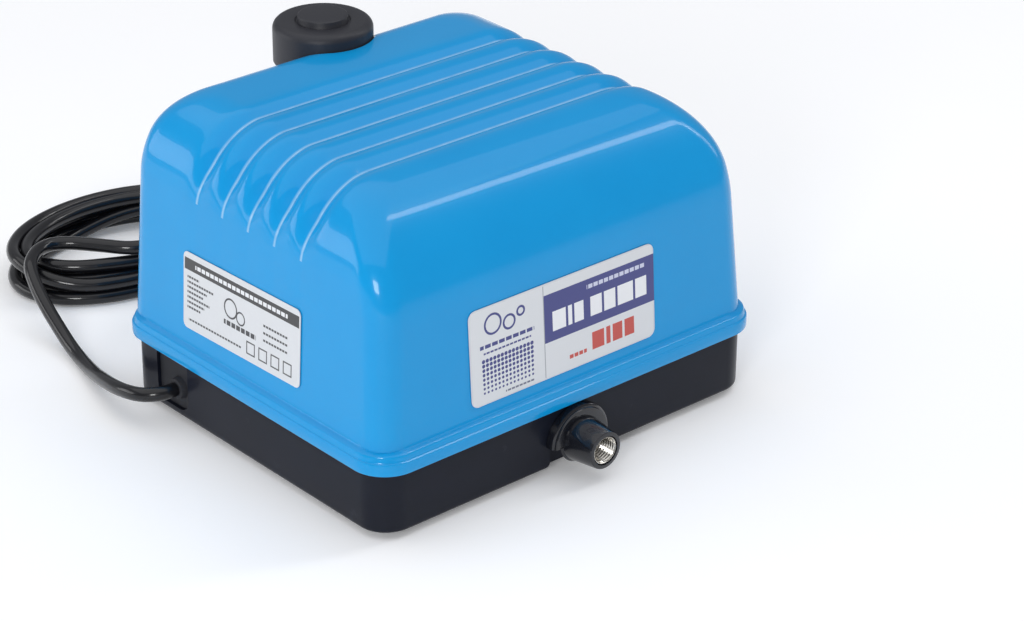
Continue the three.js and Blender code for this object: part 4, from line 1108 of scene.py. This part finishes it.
front.add((dot_x * dot_x + dot_y * dot_y < dot_size) * front.box(6.6, 4.4, 30.8, 17.6), NAVY)
front.add(front.dashes(20, 2.2, 17, 0.9, 2.3), (90, 94, 120))
finishes["front_film"] = film_finish(front)
print("front film", np.round(front_high - front_low, 1), "mm")

# %% Rating film
rating_low, rating_high = box_mm("rating_label")
TILT = 0.024
rating_middle = (rating_low + rating_high) / 2


def rating_across(f):
    """Distance from the film's left edge, seen from outside: rear is left, turned by TILT."""
    _, y, z = f.xyz()
    return (y * -1 + rating_middle[1]) - (z - rating_middle[2]) * -TILT + 43.6


def rating_up(f):
    """Distance from the film's lower edge, turned by the same tilt."""
    _, y, z = f.xyz()
    return (z - rating_middle[2]) - (y * -1 + rating_middle[1]) * TILT + 19.0


rating = Print("rating_film_print", rating_across, rating_up, (206, 209, 213))
INK = (30, 32, 38)
rating.add(rating.box(0.9, 29.2, 85.4, 5.8), (20, 22, 26))
rating.add(rating.dashes(9, 31, 69, 2.0, 3.3), (224, 226, 230))
for row, width in enumerate((9, 20, 15, 12, 17, 13, 10)):
    rating.add(rating.dashes(3, 25.4 - 2.5 * row, width, 1.1, 1.9, 0.18), INK)
rating.add(rating.disc(36, 21, 5.0, 0.9), INK)
rating.add(rating.disc(43.5, 18.6, 3.4, 0.8), INK)
rating.add(rating.dashes(31, 12.2, 24, 2.4, 3.6), INK)
for row in range(3):
    rating.add(rating.dashes(60, 21 - 3.6 * row, 18, 1.1, 2.0), INK)
rating.add(rating.dashes(4, 4.3, 40, 1.0, 2.1), INK)
for left in (48, 57, 66, 75):
    rating.add(rating.box(left, 3.4, 6.4, 6.4) * (1 - rating.box(left + 0.7, 4.1, 5.0, 5.0)), INK)
finishes["rating_film"] = film_finish(rating)
print("rating film", np.round(rating_high - rating_low, 1), "mm")

# %% [markdown]
# ## Put the finishes on
# Pieces made here take their finish by slot. CAD parts that stay, such as the motor inside, keep
# their shape and get the finish of the slot that the record gives them.

# %% Assign finishes
paper = Finish("floor_paper")
floor.data.materials.append(paper.surface(
    base_color=paper.blend(paper.noise(4, 3), screen(246, 247, 249), screen(251, 251, 252)),
    roughness=paper.scaled(paper.noise(300, 3), 0.55, 0.7),
    specular_ior_level=0.2,
    emission_color=(1, 1, 1, 1),
    emission_strength=0.12,
))
for piece in [o for o in bpy.data.objects if o.type == "MESH" and o.get("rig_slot")]:
    piece.data.materials.clear()
    piece.data.materials.append(finishes[piece["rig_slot"]])


def both(*names):
    """The same parts on the left and on the right."""
    return [f"{side}_{name}" for side in ("left", "right") for name in names]


kept = {
    "seal_rubber": ["cover_seal", *[f"rubber_mount_{name}" for name in FOOT_NAMES]],
    "sponge": ["filter_sponge"],
    "nylon": ["filter_grid", "coil_bobbin", "cord_clamp", "terminal_block", "air_chamber",
              *both("valve_box", "valve_cover")],
    "front_film": ["front_label"],
    "rating_film": ["rating_label"],
    "screw_steel": ["core_clamp", *both("pivot_pin", "diaphragm_plate"),
                    *[f"case_screw_{name}" for name in FOOT_NAMES]],
    "cast_alloy": ["chassis_plate", *both("swing_arm")],
    "core_steel": ["stator_core"],
    "copper": ["coil_winding"],
    "ferrite": both("magnet"),
    "diaphragm_rubber": both("diaphragm", "intake_flap", "exhaust_flap"),
    "hose_rubber": [*both("air_hose"), "outlet_hose"],
    "cord_sheath": ["inner_lead"],
}
for slot, nodes in kept.items():
    for node in nodes:
        part = bpy.data.objects[node]
        if not part.material_slots:
            part.data.materials.append(finishes[slot])
        for place in part.material_slots:
            place.material = finishes[slot]
print("finished", sum(map(len, kept.values())), "CAD parts that stay")
